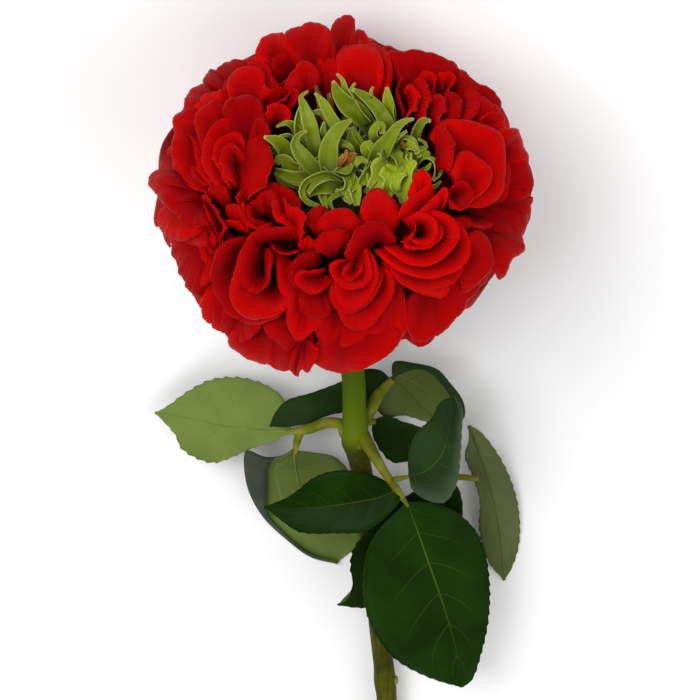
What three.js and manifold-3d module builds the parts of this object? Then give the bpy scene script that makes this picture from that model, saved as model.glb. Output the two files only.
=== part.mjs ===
// A garden rose with a full, rosetted red bloom and a leafy green eye, cut with a length of stem.
// It lies on a surface (z = 0) on the flank of the bloom, the end of the stem and a few leaf tips.
// Millimetres, +Z up. The bloom is toward +Y and the cut end toward -Y.
// The origin is the flat spot under the bloom.
import * as THREE from "three";
import { mergeVertices } from "three/addons/utils/BufferGeometryUtils.js";
import Module from "manifold-3d";

const wasm = await Module();
wasm.setup();

const rad = THREE.MathUtils.degToRad;
const V = (x, y, z) => new THREE.Vector3(x, y, z);

// Driving dimensions, millimetres and degrees.
const GAP = 0.3; // clear space kept between two pieces
const BLOOM_CENTRE = V(0, -1.5, 46.2);
const BLOOM_RISE = 22; // climb of the bloom's axis from the surface
// The petal tops lie on a cushion: a fat ring round the eye with a squared-off section.
const CUSHION = { ring: 26, height: -1, across: 19.3, tall: 26, fullness: 2.4 };
const EYE_SHIFT = { x: 2.5, y: -5, drop: -1, tip: 2.5 }; // the eye sits a little off the middle
const CORE_DEPTH = 7.5; // how far the solid heart lies below the petal tops
const PETAL_THICK = 0.75;
const LEAF_THICK = 0.65;
const STEM_SIDES = 12;
const PRESS = 0.15; // how much of a petal is flattened where it lies on the surface

// Swirls of nested petals: azimuth and height angle on the cushion, half width, reach outward,
// reach inward, number of petals, turn of the closed end, lift.
const SWIRLS = [
  [272, 50, 11, 16, 9, 4, 0, 3],
  [299, 62, 11, 16, 9, 4, 10, 3],
  [338, 76, 11, 15, 9, 3, 30, 2.5],
  [20, 88, 9, 15, 7, 3, 0, 1.8],
  [49, 86, 7, 14, 7, 2, 10, 1.5],
  [77, 92, 9, 15, 7, 3, 0, 3],
  [108, 86, 10, 15, 7, 3, 0, 2.5],
  [152, 86, 11, 15, 8, 3, 0, 2.5],
  [200, 80, 12, 15, 9, 4, 0, 3],
  [236, 84, 6, 8, 6, 2, 20, 2],
  [246, 46, 10, 15, 9, 3, 0, 3],
  [221, 44, 7, 12, 7, 2, -10, 1],
  [316, 32, 9, 12, 7, 2, 10, 0],
  [345, 34, 8, 11, 7, 2, 10, 0],
];
// Broad outer petals rolled back over the flank: number, height angle, reach, flare, lift, start.
const SKIRT = [[8, 16, 15, 12, -1.5, 0.1]];
const BOWL_PETALS = 5;
const BOWL_STEP = 1.4; // how far one back petal stands over the next

// Green carpels of the eye: foot and tip in bloom coordinates (across, away, height), width.
const CARPELS = [
  [[-4, -4, 12], [-9.4, 4.5, 29], 6],
  [[-8, -4, 12], [-17, -6, 22.5], 6],
  [[-5, -8, 13], [-8.6, -6, 26], 4.5],
  [[-1, 2, 12], [-5.8, 4.5, 29], 4],
  [[3, 2, 13], [-1.9, 6, 30], 6.5],
  [[8, 0, 13], [2.5, 5, 29], 5],
  [[9, 2, 12], [11.8, 4, 28], 5],
  [[6, -5, 13], [18, -2.5, 25.5], 5.5],
  [[12, -4, 12], [21.5, -2, 25], 5],
  [[-2, -6, 14], [2, -5, 28], 7],
  [[-4, -11, 12], [-8.5, -20.5, 22.5], 6],
  [[-8, -9, 12], [-15.5, -17, 22], 5],
  [[6, -12, 12], [8, -24, 23.5], 6],
  [[10, -9, 12], [16, -20, 24], 6],
  [[12, -6, 12], [20.5, -14, 24], 5],
  [[1, -12, 12], [0.5, -24, 22.5], 6],
  [[-3, -12, 12], [-4, -22, 24], 5],
  [[-10, -3, 10], [-14.5, -1, 23], 5],
  [[4, -7, 14], [9, -9, 27], 5],
  [[0, -8, 14], [-3, -13, 26], 5],
  [[7, -3, 13], [12, -5, 26], 4.5],
  [[11, -8, 12], [14.5, -12, 25.5], 5],
];

// Leaflets: foot, tip, bow of the midrib, side that the upper face looks to, half widths, fold.
const LEAVES = {
  leaf_left: {
    stalks: [
      {
        path: [[1.2, -83, 17], [-4.4, -81.5, 18.8], [-12.1, -83.6, 18.5], [-14.5, -83.7, 18.2]],
        width: [2.1, 1.2, 1.2, 0.9],
      },
      { path: [[-11.2, -83.6, 18.4], [-11.7, -87.5, 17.4], [-11.8, -92.5, 16.2]], width: [1, 0.9, 0.8] },
    ],
    blades: [
      {
        foot: [-13.5, -83.6, 18.3], tip: [-52.1, -85.9, 0.45], bow: [0, 0, 3.5],
        up: [-0.35, 0.1, -1], half: [12.5, 12], fold: 10,
      },
      {
        foot: [-11.8, -91, 16.4], tip: [-4, -135, 0.45], bow: [-2.4, 0, -1],
        up: [0.1, -0.3, -1], half: [17.5, 14], fold: 8,
        roll: { side: 0, at: 0.72, radius: 1.4 },
      },
    ],
  },
  leaf_front: {
    stalks: [
      {
        path: [
          [3.6, -85.2, 18.5], [6.9, -87.6, 22.3], [12.1, -94, 24], [16.3, -100.6, 24.5], [18.8, -106, 24.5],
        ],
        width: [2.2, 1.7, 1.2, 1.1, 0.9],
      },
      { path: [[15.8, -99.6, 24.4], [14.2, -99, 24.1]], width: [0.9, 0.8] },
      { path: [[15.4, -98.6, 24.4], [19.8, -94.6, 24.4]], width: [0.9, 0.8] },
    ],
    blades: [
      {
        foot: [18.5, -104.5, 24.5], tip: [35.8, -166.4, 18], bow: [0, 0, 2],
        up: [0.1, 0.25, 1], half: [17.5, 17], fold: 9,
      },
      {
        foot: [15.2, -98.9, 24.2], tip: [-21.1, -105.7, 21], bow: [0, -2.5, 1.5],
        up: [0, 0.35, 1], half: [9.5, 9.5], fold: 12,
      },
      {
        foot: [18.6, -95.3, 24.4], tip: [31.9, -67.7, 32], bow: [3, -5, 0],
        up: [-0.5, 0.3, 1], half: [9, 13], fold: 30,
      },
    ],
  },
  leaf_back: {
    stalks: [
      {
        path: [[4.2, -84, 16], [8, -78.5, 16.6], [10.2, -73, 17], [13.9, -66.6, 18]],
        width: [2, 1.4, 1.2, 0.9],
      },
      { path: [[4.4, -84, 15.4], [9.8, -83.6, 12.6]], width: [1.1, 0.8] },
    ],
    blades: [
      {
        foot: [13.4, -67.2, 17.9], tip: [29.7, -90, 12], bow: [1, 1, 0.5],
        up: [0.2, 0.3, -1], half: [12, 12], fold: 10,
      },
      {
        foot: [13.2, -67.8, 17.4], tip: [-19.4, -85, 13], bow: [0, 1.5, -1.5],
        up: [-0.35, 0.75, 0.7], half: [7, 7], fold: 12,
      },
      {
        foot: [9, -83.4, 12.9], tip: [26, -97, 7.5], bow: [0, -1, 0],
        up: [0, 0.1, 1], half: [7.5, 7.5], fold: 8,
      },
    ],
  },
  leaf_low: {
    stalks: [
      {
        path: [
          [10, -134, 11], [16.7, -120, 12.4], [22, -110, 13.2], [27.4, -100.6, 13.6], [36.9, -101.4, 12],
        ],
        width: [1.9, 1.3, 1.1, 1, 0.9],
      },
    ],
    blades: [
      {
        foot: [26.6, -101.8, 13.6], tip: [-0.9, -141.5, 15.4], bow: [1.5, 1, 2],
        up: [0, 0, 1], half: [6.5, 7.5], fold: 4,
      },
      {
        foot: [27.1, -101.4, 13.4], tip: [26, -129, 9], bow: [1, 0, 0],
        up: [0.2, 0, 1], half: [8, 8], fold: 12,
      },
      {
        foot: [36.4, -101.4, 12], tip: [48.9, -140.4, 0.55], bow: [4, 1, 3],
        up: [-0.75, -0.1, -1], half: [7.5, 9.5], fold: 12,
      },
      {
        foot: [36.6, -102, 12], tip: [36.2, -80, 8], bow: [4.5, 0, 1],
        up: [-0.6, 0, -1], half: [6, 6.5], fold: 10,
      },
    ],
  },
};

// Stem: centre line from the hip to the cut, with the radius at each point.
const STEM = [
  [[0, -38.93, 31.08], 3.2],
  [[0.2, -42.6, 29.6], 3.2],
  [[1.6, -51.5, 27.5], 3.2],
  [[3.3, -62.5, 25], 3.2],
  [[3.7, -76, 20.4], 3.25],
  [[3.9, -83.4, 18], 3.75],
  [[4.1, -87.2, 16.9], 4.05],
  [[4.6, -91, 15.9], 3.2],
  [[5.8, -97.8, 14.5], 2.85],
  [[8.6, -125, 11.1], 2.85],
  [[11.2, -152, 8.6], 2.9],
  [[12.7, -169, 7.2], 3],
  [[13.2, -175, 6.7], 3.35],
  [[13.6, -180, 6.3], 3],
  [[14.9, -205, 3.8], 3],
  [[15.4, -216, 3.06], 3],
];

// Bloom coordinates: x across, y away from the viewer's side, h along the axis.
const ACROSS = V(1, 0, 0);
const AXIS = V(0, Math.cos(rad(BLOOM_RISE)), Math.sin(rad(BLOOM_RISE)));
const AWAY = AXIS.clone().cross(ACROSS);

function bloomPoint(x, y, h) {
  const point = BLOOM_CENTRE.clone().addScaledVector(ACROSS, x);
  return point.addScaledVector(AWAY, y).addScaledVector(AXIS, h);
}

function signedPower(x, power) {
  return Math.sign(x) * Math.abs(x) ** power;
}

// Long smooth waves shift everything in the bloom alike, so nothing is drawn too evenly.
function wander(x, y, h) {
  const at = [x, y, h];
  const waves = [[0.21, 1.1, 0.3], [0.17, 1.2, 1.9], [0.19, 1.1, 4.1]];
  return waves.map(([rate, size, start], k) => {
    const u = at[(k + 1) % 3] * rate + start;
    const w = at[(k + 2) % 3] * rate * 0.83 + 2.1 * start;
    return at[k] + size * Math.sin(u) * Math.cos(w);
  });
}

// A point of the cushion at an azimuth and a height angle (0 the flank, 90 the crest, in radians),
// lifted outward by a length.
function cushionPoint(azimuth, angle, lift, waved = true) {
  const { ring, height, across, tall, fullness } = CUSHION;
  const u = signedPower(Math.cos(angle), 2 / fullness);
  const v = signedPower(Math.sin(angle), 2 / fullness);
  const out = signedPower(u, fullness - 1) / across;
  const up = signedPower(v, fullness - 1) / tall;
  const length = Math.hypot(out, up) + 1e-12;
  const r = ring + across * u + (lift * out) / length;
  const h = height + tall * v + (lift * up) / length;
  const inner = THREE.MathUtils.smoothstep(angle, rad(20), rad(100));
  const x = r * Math.cos(azimuth) + EYE_SHIFT.x * inner;
  const y = r * Math.sin(azimuth) + EYE_SHIFT.y * inner;
  const z = h + inner * (EYE_SHIFT.drop + EYE_SHIFT.tip * Math.sin(azimuth));
  return bloomPoint(...(waved ? wander(x, y, z) : [x, y, z]));
}

function cushionRadius(angle) {
  return CUSHION.ring + CUSHION.across * signedPower(Math.cos(angle), 2 / CUSHION.fullness);
}

// Repeatable draws between 0 and 1.
function makeDraw(seed) {
  let state = seed;
  return () => {
    state = (state * 1664525 + 1013904223) % 4294967296;
    return state / 4294967296;
  };
}

// A petal whose rim follows a U in the cushion's surface. Its stalk rises out of the heart and
// its top curls outward, less so along the arms of the U.
function petalGrid(petal, columns, stations) {
  const grid = [];
  const turn = rad(petal.turn);
  for (let i = 0; i <= columns; i += 1) {
    const t = (2 * i) / columns - 1;
    const alpha = rad(petal.skew + petal.sweep * t);
    const reach = Math.cos(alpha) > 0 ? petal.out : petal.inward;
    const side = petal.half * Math.sin(alpha);
    const front = reach * Math.cos(alpha);
    const nx = Math.sin(alpha) / petal.half;
    const ny = Math.cos(alpha) / reach;
    const size = Math.hypot(nx, ny);
    const weight = petal.arm + (1 - petal.arm) * Math.cos(alpha / 2) ** 2;
    const flare = petal.flare * weight * (1 - 0.25 * t ** 4) + petal.point * Math.exp(-((t / 0.16) ** 2));
    const top = petal.top - petal.drop * Math.abs(t) ** 4;
    const row = [];
    for (const v of stations) {
      const stalk = Math.min(v / 0.45, 1);
      const length = Math.max((v - 0.45) / 0.55, 0) * flare;
      let lift = -petal.depth + (top + petal.depth) * stalk;
      let away = 0;
      const steps = 12;
      for (let k = 0; k < steps; k += 1) {
        const x = Math.min((length * (k + 0.5)) / steps / petal.bend, 1);
        const lean = rad(petal.curl) * Math.sqrt(weight) * smoothCurve(x);
        away += (Math.sin(lean) * length) / steps;
        lift += (Math.cos(lean) * length) / steps;
      }
      lift += petal.ruffle * length / petal.flare * Math.sin(petal.waves * alpha + petal.phase);
      const gather = 1 - petal.gather * (1 - stalk);
      const a = side * gather + (away * nx) / size;
      const b = front * gather + (away * ny) / size;
      const across = a * Math.cos(turn) + b * Math.sin(turn);
      const outward = b * Math.cos(turn) - a * Math.sin(turn);
      const angle = rad(petal.angle) - outward / 23;
      const azimuth = rad(petal.azimuth) + across / Math.max(cushionRadius(angle), 12);
      const point = cushionPoint(azimuth, angle, lift);
      point.z = Math.max(point.z, PETAL_THICK / 2 - PRESS);
      row.push(point);
    }
    grid.push(row);
  }
  return grid;
}

function smoothCurve(x) {
  return x * x * (3 - 2 * x);
}

// A closed sheet round a grid of points. Both faces are split along the same diagonals.
function sheet(grid, thickness) {
  const columns = grid.length;
  const rows = grid[0].length;
  const points = [];
  const triangles = [];
  const normals = grid.map((row, i) => row.map((p, j) => {
    const along = grid[Math.min(i + 1, columns - 1)][j].clone().sub(grid[Math.max(i - 1, 0)][j]);
    const up = row[Math.min(j + 1, rows - 1)].clone().sub(row[Math.max(j - 1, 0)]);
    return along.cross(up).normalize();
  }));
  for (const face of [0.5, -0.5]) {
    grid.forEach((row, i) => row.forEach((p, j) => {
      points.push(p.clone().addScaledVector(normals[i][j], face * thickness));
    }));
  }
  const top = (i, j) => i * rows + j;
  const under = (i, j) => columns * rows + i * rows + j;
  for (let i = 0; i < columns - 1; i += 1) {
    for (let j = 0; j < rows - 1; j += 1) {
      triangles.push([top(i, j), top(i + 1, j), top(i + 1, j + 1)]);
      triangles.push([top(i, j), top(i + 1, j + 1), top(i, j + 1)]);
      triangles.push([under(i, j), under(i + 1, j + 1), under(i + 1, j)]);
      triangles.push([under(i, j), under(i, j + 1), under(i + 1, j + 1)]);
    }
  }
  for (let i = 0; i < columns - 1; i += 1) {
    bridge(triangles, top(i + 1, 0), top(i, 0), under(i + 1, 0), under(i, 0));
    bridge(triangles, top(i, rows - 1), top(i + 1, rows - 1), under(i, rows - 1), under(i + 1, rows - 1));
  }
  for (let j = 0; j < rows - 1; j += 1) {
    bridge(triangles, top(0, j), top(0, j + 1), under(0, j), under(0, j + 1));
    const end = columns - 1;
    bridge(triangles, top(end, j + 1), top(end, j), under(end, j + 1), under(end, j));
  }
  return solid(points, triangles);
}

function bridge(triangles, a, b, c, d) {
  triangles.push([a, b, d]);
  triangles.push([a, d, c]);
}

// Rings of points joined into a closed body, with a point or a flat fan at each end.
function loft(rings) {
  const count = rings[0].length;
  const points = rings.flat();
  const triangles = [];
  for (let k = 0; k < rings.length - 1; k += 1) {
    for (let i = 0; i < count; i += 1) {
      const next = (i + 1) % count;
      triangles.push([k * count + i, k * count + next, (k + 1) * count + next]);
      triangles.push([k * count + i, (k + 1) * count + next, (k + 1) * count + i]);
    }
  }
  for (const [ring, flip] of [[0, true], [rings.length - 1, false]]) {
    const middle = points.length;
    points.push(rings[ring].reduce((sum, p) => sum.add(p), V(0, 0, 0)).divideScalar(count));
    for (let i = 0; i < count; i += 1) {
      const pair = [ring * count + i, ring * count + ((i + 1) % count)];
      triangles.push(flip ? [middle, pair[1], pair[0]] : [middle, pair[0], pair[1]]);
    }
  }
  return solid(points, triangles);
}

// A round bar along a smooth line.
function bar(path, radii, sides, perSpan = 1) {
  const line = new THREE.CatmullRomCurve3(path.map((p) => V(...p)));
  const spans = path.length - 1;
  const rings = [];
  for (let k = 0; k <= spans * perSpan; k += 1) {
    const share = k / perSpan;
    const span = Math.min(Math.floor(share), spans - 1);
    const radius = THREE.MathUtils.lerp(radii[span], radii[span + 1], share - span);
    const t = share / spans;
    const centre = line.getPoint(t);
    const along = line.getTangent(t);
    const side = V(0, 0, 1).cross(along).normalize();
    const up = along.clone().cross(side);
    const ring = [];
    for (let i = 0; i < sides; i += 1) {
      const turn = (2 * Math.PI * i) / sides;
      const point = centre.clone().addScaledVector(side, radius * Math.cos(turn));
      ring.push(point.addScaledVector(up, radius * Math.sin(turn)));
    }
    rings.push(ring);
  }
  return loft(rings);
}

// Turns points and triangles into a solid whose faces look outward.
function solid(points, triangles) {
  let volume = 0;
  for (const [a, b, c] of triangles) {
    volume += points[a].dot(points[b].clone().cross(points[c]));
  }
  const order = volume < 0 ? triangles.map(([a, b, c]) => [a, c, b]) : triangles;
  const vertProperties = new Float32Array(points.flatMap((p) => [p.x, p.y, p.z]));
  const triVerts = new Uint32Array(order.flat());
  return new wasm.Manifold(new wasm.Mesh({ numProp: 3, vertProperties, triVerts }));
}

function join(solids) {
  return solids.reduce((all, one) => all.add(one));
}

// A body turned round the bloom's axis about the middle of the eye.
function turnedInBloom(profile, sides, shift) {
  const rings = profile.map(([r, h]) => {
    const ring = [];
    for (let i = 0; i < sides; i += 1) {
      const turn = (2 * Math.PI * i) / sides;
      ring.push(bloomPoint(shift.x + r * Math.cos(turn), shift.y + r * Math.sin(turn), h));
    }
    return ring;
  });
  return loft(rings);
}

// The heart of the bloom: the cushion set back, with a cup for the eye. Its back is closed by
// broad petals that overlap one way round, each standing over the next, with wavy rims.
function heart() {
  const sides = 20;
  const ringOf = (point) => Array.from({ length: sides }, (_, i) => point((2 * Math.PI * i) / sides));
  const flat = (r, h, shift) => ringOf((turn) => bloomPoint(
    r * Math.cos(turn) + EYE_SHIFT.x * shift, r * Math.sin(turn) + EYE_SHIFT.y * shift, h,
  ));
  const back = (r, h, share) => ringOf((turn) => {
    const lap = ((turn / (2 * Math.PI)) * BOWL_PETALS + 0.1) % 1;
    const stand = BOWL_STEP * (lap - 0.5) * share;
    const rim = (r > 40 ? 1.8 : 0) * (Math.sin(Math.PI * lap) - 0.6);
    const reach = r + stand + rim;
    return bloomPoint(reach * Math.cos(turn), reach * Math.sin(turn), h - stand + rim);
  });
  const rings = [flat(7.4, -27.4, 0), back(18, -27.8, 0.5), back(30, -25, 0.8)];
  rings.push(back(38, -19.5, 1), back(43, -12, 1), back(41.5, -11, 1), back(36.5, -15.5, 0));
  for (const angle of [-15, 20, 50, 80, 105, 130, 150]) {
    rings.push(ringOf((turn) => cushionPoint(turn, rad(angle), -CORE_DEPTH, false)));
  }
  rings.push(flat(12.6, -10, 1));
  return loft(rings);
}

// Room kept for the eye: petals are trimmed to it and the eye stays inside it.
const EYE_ROOM = [
  [11.8, -9.6], [12.2, 4], [13, 12], [15, 17.5], [18, 21], [21, 23.6], [23, 25.5], [26, 27], [26, 60],
];

function eyeRoom(clear) {
  const profile = EYE_ROOM.map(([r, h], k) => [r + clear, k === 0 ? h - clear : h - clear * 0.7]);
  return turnedInBloom(profile, 24, EYE_SHIFT);
}

function makePetals() {
  const draw = makeDraw(11);
  const pieces = [heart()];
  for (const [azimuth, angle, half, out, inward, count, turn, lift] of SWIRLS) {
    for (let j = 0; j < count; j += 1) {
      const share = ((j + 0.5) / (count - 0.5)) ** 0.85;
      const petal = {
        azimuth, angle, half: half * share, out: out * share, inward: inward * share,
        turn: turn + 8 * (draw() - 0.5), skew: 12 * (draw() - 0.5), sweep: 118 + 10 * draw(),
        top: lift - (4.6 * j) / count, drop: 4, depth: CORE_DEPTH + 1.2,
        flare: 4.2 + (2.6 * j) / count, bend: 2.8 + (1.5 * j) / count, curl: 112, arm: 0.4, point: 0,
        gather: 0.45, ruffle: 0.5, waves: 3, phase: 6.28 * draw(),
      };
      pieces.push(sheet(petalGrid(petal, 6, [0, 0.45, 0.74, 1]), PETAL_THICK));
    }
  }
  for (const [count, angle, out, flare, top, start] of SKIRT) {
    for (let i = 0; i < count; i += 1) {
      const petal = {
        azimuth: (360 * (i + start + 0.2 * (draw() - 0.5))) / count, angle, half: 18, out, inward: 10,
        turn: 0, skew: 6 * (draw() - 0.5), sweep: 56, top, drop: 2, depth: CORE_DEPTH + 1.2,
        flare: flare + 2 * draw(), bend: 6, curl: 98, arm: 0.6, point: 2 * draw(), gather: 0.3,
        ruffle: 0.9, waves: 4, phase: 6.28 * draw(),
      };
      pieces.push(sheet(petalGrid(petal, 6, [0, 0.45, 0.7, 1]), PETAL_THICK));
    }
  }
  return join(pieces).subtract(eyeRoom(GAP)).subtract(block([-80, -80, -40], [80, 80, 0]));
}

function block(low, high) {
  const size = high.map((value, k) => value - low[k]);
  const box = new THREE.BoxGeometry(...size).translate(...low.map((value, k) => value + size[k] / 2));
  return fromGeometry(box);
}

function fromGeometry(geometry) {
  const position = (geometry.index ? geometry.toNonIndexed() : geometry).getAttribute("position");
  const points = [];
  const triangles = [];
  const known = new Map();
  for (let i = 0; i < position.count; i += 1) {
    const p = V().fromBufferAttribute(position, i);
    const key = p.toArray().map((value) => value.toFixed(5)).join();
    if (!known.has(key)) {
      known.set(key, points.length);
      points.push(p);
    }
    if (i % 3 === 0) {
      triangles.push([]);
    }
    triangles.at(-1).push(known.get(key));
  }
  return solid(points, triangles);
}

// A narrow, pointed leaf of the eye, a little hollowed, rising and then leaning to its tip.
function carpel([foot, tip, width], bend) {
  const a = V(...foot);
  const b = V(...tip);
  const middle = a.clone().lerp(b, 0.5).add(V(0, 0, 1.5 + bend));
  const curve = new THREE.QuadraticBezierCurve3(a, middle, b);
  const shape = [0.55, 0.95, 0.8, 0.12];
  const sideways = V(b.y - a.y, a.x - b.x, 0).normalize();
  const grid = [-1, 0, 1].map((q) => shape.map((share, j) => {
    const t = j / (shape.length - 1);
    const p = curve.getPoint(t);
    p.addScaledVector(sideways, (q * share * width) / 2);
    p.z += Math.abs(q) * share * width * 0.16;
    return bloomPoint(p.x, p.y, p.z);
  }));
  return sheet(grid, 0.7);
}

function makeEye() {
  const draw = makeDraw(5);
  const mound = [[11, -9.6], [11.2, 3], [11, 9], [8.5, 13], [4.5, 15.5]];
  const pieces = [turnedInBloom(mound, 16, EYE_SHIFT)];
  for (const one of CARPELS) {
    pieces.push(carpel(one, 2 * draw()));
  }
  return join(pieces).intersect(eyeRoom(0));
}

function makeCalyx() {
  const hip = [[3.3, -40], [4.4, -38], [5.8, -35], [6.4, -31.5], [6.8, -27.75]];
  const pieces = [turnedInBloom(hip, 14, { x: 0, y: 0 })];
  for (let i = 0; i < 5; i += 1) {
    const azimuth = rad(72 * i + 12);
    const lie = [[4.5, -30.6, 3.2], [12, -31.3, 3.9], [18, -32, 2.4], [24, -33.4, 0.5]];
    const grid = [-1, 0, 1].map((q) => lie.map(([r, h, half]) => {
      const x = r * Math.cos(azimuth) - q * half * Math.sin(azimuth);
      const y = r * Math.sin(azimuth) + q * half * Math.cos(azimuth);
      return bloomPoint(x, y, h - 0.35 * Math.abs(q));
    }));
    pieces.push(sheet(grid, 0.8));
  }
  return join(pieces);
}

function makeStem(extra = 0) {
  const path = STEM.map(([p]) => p);
  const radii = STEM.map(([, radius]) => radius + extra);
  const bud = (centre, size) => {
    const ball = new THREE.IcosahedronGeometry(1, 1).scale(...size.map((s) => s + extra));
    return fromGeometry(ball.translate(...centre));
  };
  const pieces = [bar(path, radii, STEM_SIDES)];
  pieces.push(bud([4.9, -86.4, 20.2], [1.3, 1.5, 1]));
  pieces.push(bud([16.2, -174.4, 7.2], [0.9, 1.6, 1.2]));
  return join(pieces);
}

// How wide a leaflet is along its length: round foot, drawn-out tip.
function leafWidth(s) {
  const wide = Math.max(Math.sin(Math.PI * s ** 0.72), 0) ** 0.78;
  return wide * (1 - 0.28 * s ** 5);
}

// A toothed leaflet, folded along its midrib. The margin may roll over on one side.
function blade({ foot, tip, bow, up, half, fold, roll }, teeth = 7) {
  const a = V(...foot);
  const b = V(...tip);
  const middle = a.clone().lerp(b, 0.5).addScaledVector(V(...bow), 2);
  const midrib = new THREE.QuadraticBezierCurve3(a, middle, b);
  const face = V(...up).normalize();
  const stations = 2 * teeth;
  const lanes = roll ? (roll.side ? [-1, 0, 0.7, 0.85, 1] : [-1, -0.85, -0.7, 0, 1]) : [-1, 0, 1];
  const grid = lanes.map((q) => {
    const row = [];
    for (let k = 0; k <= stations; k += 1) {
      const s = k / stations;
      const p = midrib.getPoint(s);
      const along = midrib.getTangent(s);
      const right = along.clone().cross(face).normalize();
      const normal = right.clone().cross(along);
      const width = half[q < 0 ? 0 : 1] * leafWidth(s);
      const tooth = Math.abs(q) === 1 && k % 2 ? 1.06 : 1;
      let reach = Math.max(Math.abs(q) * width * tooth, Math.abs(q) * 0.4);
      let rise = reach * Math.sin(rad(fold));
      if (roll && (q < 0 ? 0 : 1) === roll.side && reach > roll.at * width) {
        const past = reach - roll.at * width;
        const bend = Math.min(past / roll.radius, Math.PI * 0.95);
        const rest = Math.max(past - roll.radius * Math.PI * 0.95, 0);
        reach = roll.at * width + roll.radius * Math.sin(bend) - rest;
        rise = roll.at * width * Math.sin(rad(fold)) - roll.radius * (1 - Math.cos(bend)) - rest * 0.1;
      }
      p.addScaledVector(right, Math.sign(q) * reach * Math.cos(rad(fold)));
      p.addScaledVector(normal, rise);
      p.addScaledVector(along, tooth > 1 ? 0.5 : 0);
      row.push(p);
    }
    return row;
  });
  return sheet(grid, LEAF_THICK);
}

function makeLeaf({ stalks, blades }, room) {
  const pieces = stalks.map(({ path, width }) => bar(path, width, 6, 1));
  return join([...pieces, ...blades.map((one) => blade(one))]).subtract(room);
}

// The outer shell of a solid, with near points merged, sealed hollows filled and loose scraps
// left out.
function outerShell(body) {
  let shell = body;
  for (let pass = 0; pass < 3; pass += 1) {
    const { vertProperties, triVerts } = shell.getMesh();
    const raw = new THREE.BufferGeometry();
    raw.setAttribute("position", new THREE.BufferAttribute(vertProperties, 3));
    raw.setIndex(new THREE.BufferAttribute(triVerts, 1));
    const merged = mergeVertices(raw, 1e-3);
    const again = new wasm.Mesh({
      numProp: 3,
      vertProperties: merged.getAttribute("position").array,
      triVerts: new Uint32Array(merged.getIndex().array),
    });
    [shell] = new wasm.Manifold(again).decompose().sort((one, two) => two.volume() - one.volume());
  }
  const { vertProperties, triVerts } = shell.getMesh();
  const geometry = new THREE.BufferGeometry();
  geometry.setAttribute("position", new THREE.BufferAttribute(vertProperties, 3));
  geometry.setIndex(new THREE.BufferAttribute(triVerts, 1));
  geometry.computeVertexNormals();
  return geometry;
}

const LOOKS = {
  petals: { color: 0xb4080c, roughness: 0.6 },
  eye: { color: 0x7d9a26, roughness: 0.6 },
  calyx: { color: 0x5f7a22, roughness: 0.6 },
  stem: { color: 0x56690f, roughness: 0.5 },
  leaf_left: { color: 0x73843a, roughness: 0.5 },
  leaf_front: { color: 0x1b3a12, roughness: 0.4 },
  leaf_back: { color: 0x3b5320, roughness: 0.5 },
  leaf_low: { color: 0x2c4418, roughness: 0.5 },
};

const rose = new THREE.Group();

function place(name, body) {
  const look = new THREE.MeshStandardMaterial({ ...LOOKS[name], metalness: 0 });
  const mesh = new THREE.Mesh(outerShell(body.simplify(0.05)), look);
  mesh.name = name;
  rose.add(mesh);
}

place("petals", makePetals());
place("eye", makeEye());
place("calyx", makeCalyx());
place("stem", makeStem());
const stemRoom = makeStem(GAP);
for (const [name, leaf] of Object.entries(LEAVES)) {
  place(name, makeLeaf(leaf, stemRoom));
}

export default rose;
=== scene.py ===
import math
import bpy
import numpy as np
from mathutils import Matrix, Vector


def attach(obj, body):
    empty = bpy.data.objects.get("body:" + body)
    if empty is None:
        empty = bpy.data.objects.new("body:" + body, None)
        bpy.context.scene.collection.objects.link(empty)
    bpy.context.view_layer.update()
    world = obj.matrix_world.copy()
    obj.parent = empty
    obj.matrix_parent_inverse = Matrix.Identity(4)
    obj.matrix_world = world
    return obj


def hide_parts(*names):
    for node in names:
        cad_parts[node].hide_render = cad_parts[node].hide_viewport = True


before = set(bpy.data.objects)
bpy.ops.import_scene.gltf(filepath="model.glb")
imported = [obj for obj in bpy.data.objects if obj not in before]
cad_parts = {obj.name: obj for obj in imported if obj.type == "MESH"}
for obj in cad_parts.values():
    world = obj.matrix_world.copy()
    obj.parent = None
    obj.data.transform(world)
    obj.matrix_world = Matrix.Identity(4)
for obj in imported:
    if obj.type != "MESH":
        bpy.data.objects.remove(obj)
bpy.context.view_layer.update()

rng = np.random.default_rng(21)
mm = 0.001
fullTurn = 2 * math.pi
print("frame loaded:", sorted(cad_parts))


def chance(low, high):
    return low + (high - low) * rng.random()


def anyPhase():
    # where a wave starts, up to about a full turn
    return 6.28 * rng.random()


def unit(v):
    return v / (np.linalg.norm(v, axis=-1, keepdims=True) + 1e-12)


def ease(x):
    x = np.clip(x, 0, 1)
    return x * x * (3 - 2 * x)


def signedPower(x, power):
    return np.sign(x) * np.abs(x) ** power


def smoothLine(points, perSpan):
    # centripetal curve through the points, as the solid's centre line runs
    p = np.asarray(points, float)
    p = np.vstack([2 * p[0] - p[1], p, 2 * p[-1] - p[-2]])
    line = []
    for k in range(1, len(p) - 2):
        a, b, c, d = p[k - 1], p[k], p[k + 1], p[k + 2]
        before, span, after = (math.sqrt(np.linalg.norm(q - w)) for q, w in ((b, a), (c, b), (d, c)))
        start = ((b - a) / before - (c - a) / (before + span) + (c - b) / span) * span
        stop = ((c - b) / span - (d - b) / (span + after) + (d - c) / after) * span
        square = 3 * c - 3 * b - 2 * start - stop
        cube = 2 * b - 2 * c + start + stop
        for step in range(perSpan):
            t = step / perSpan
            line.append(b + start * t + square * t * t + cube * t ** 3)
    line.append(p[-2])
    return np.array(line)


def smoothWidths(widths, perSpan):
    # widths that belong to the points of smoothLine
    spans = len(widths) - 1
    return np.interp(np.arange(spans * perSpan + 1) / perSpan, np.arange(spans + 1), widths)


def softened(values):
    # each value becomes the mean of itself and two neighbours on either side
    return np.convolve(np.pad(values, 2, mode="edge"), np.ones(5) / 5, "valid")


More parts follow.
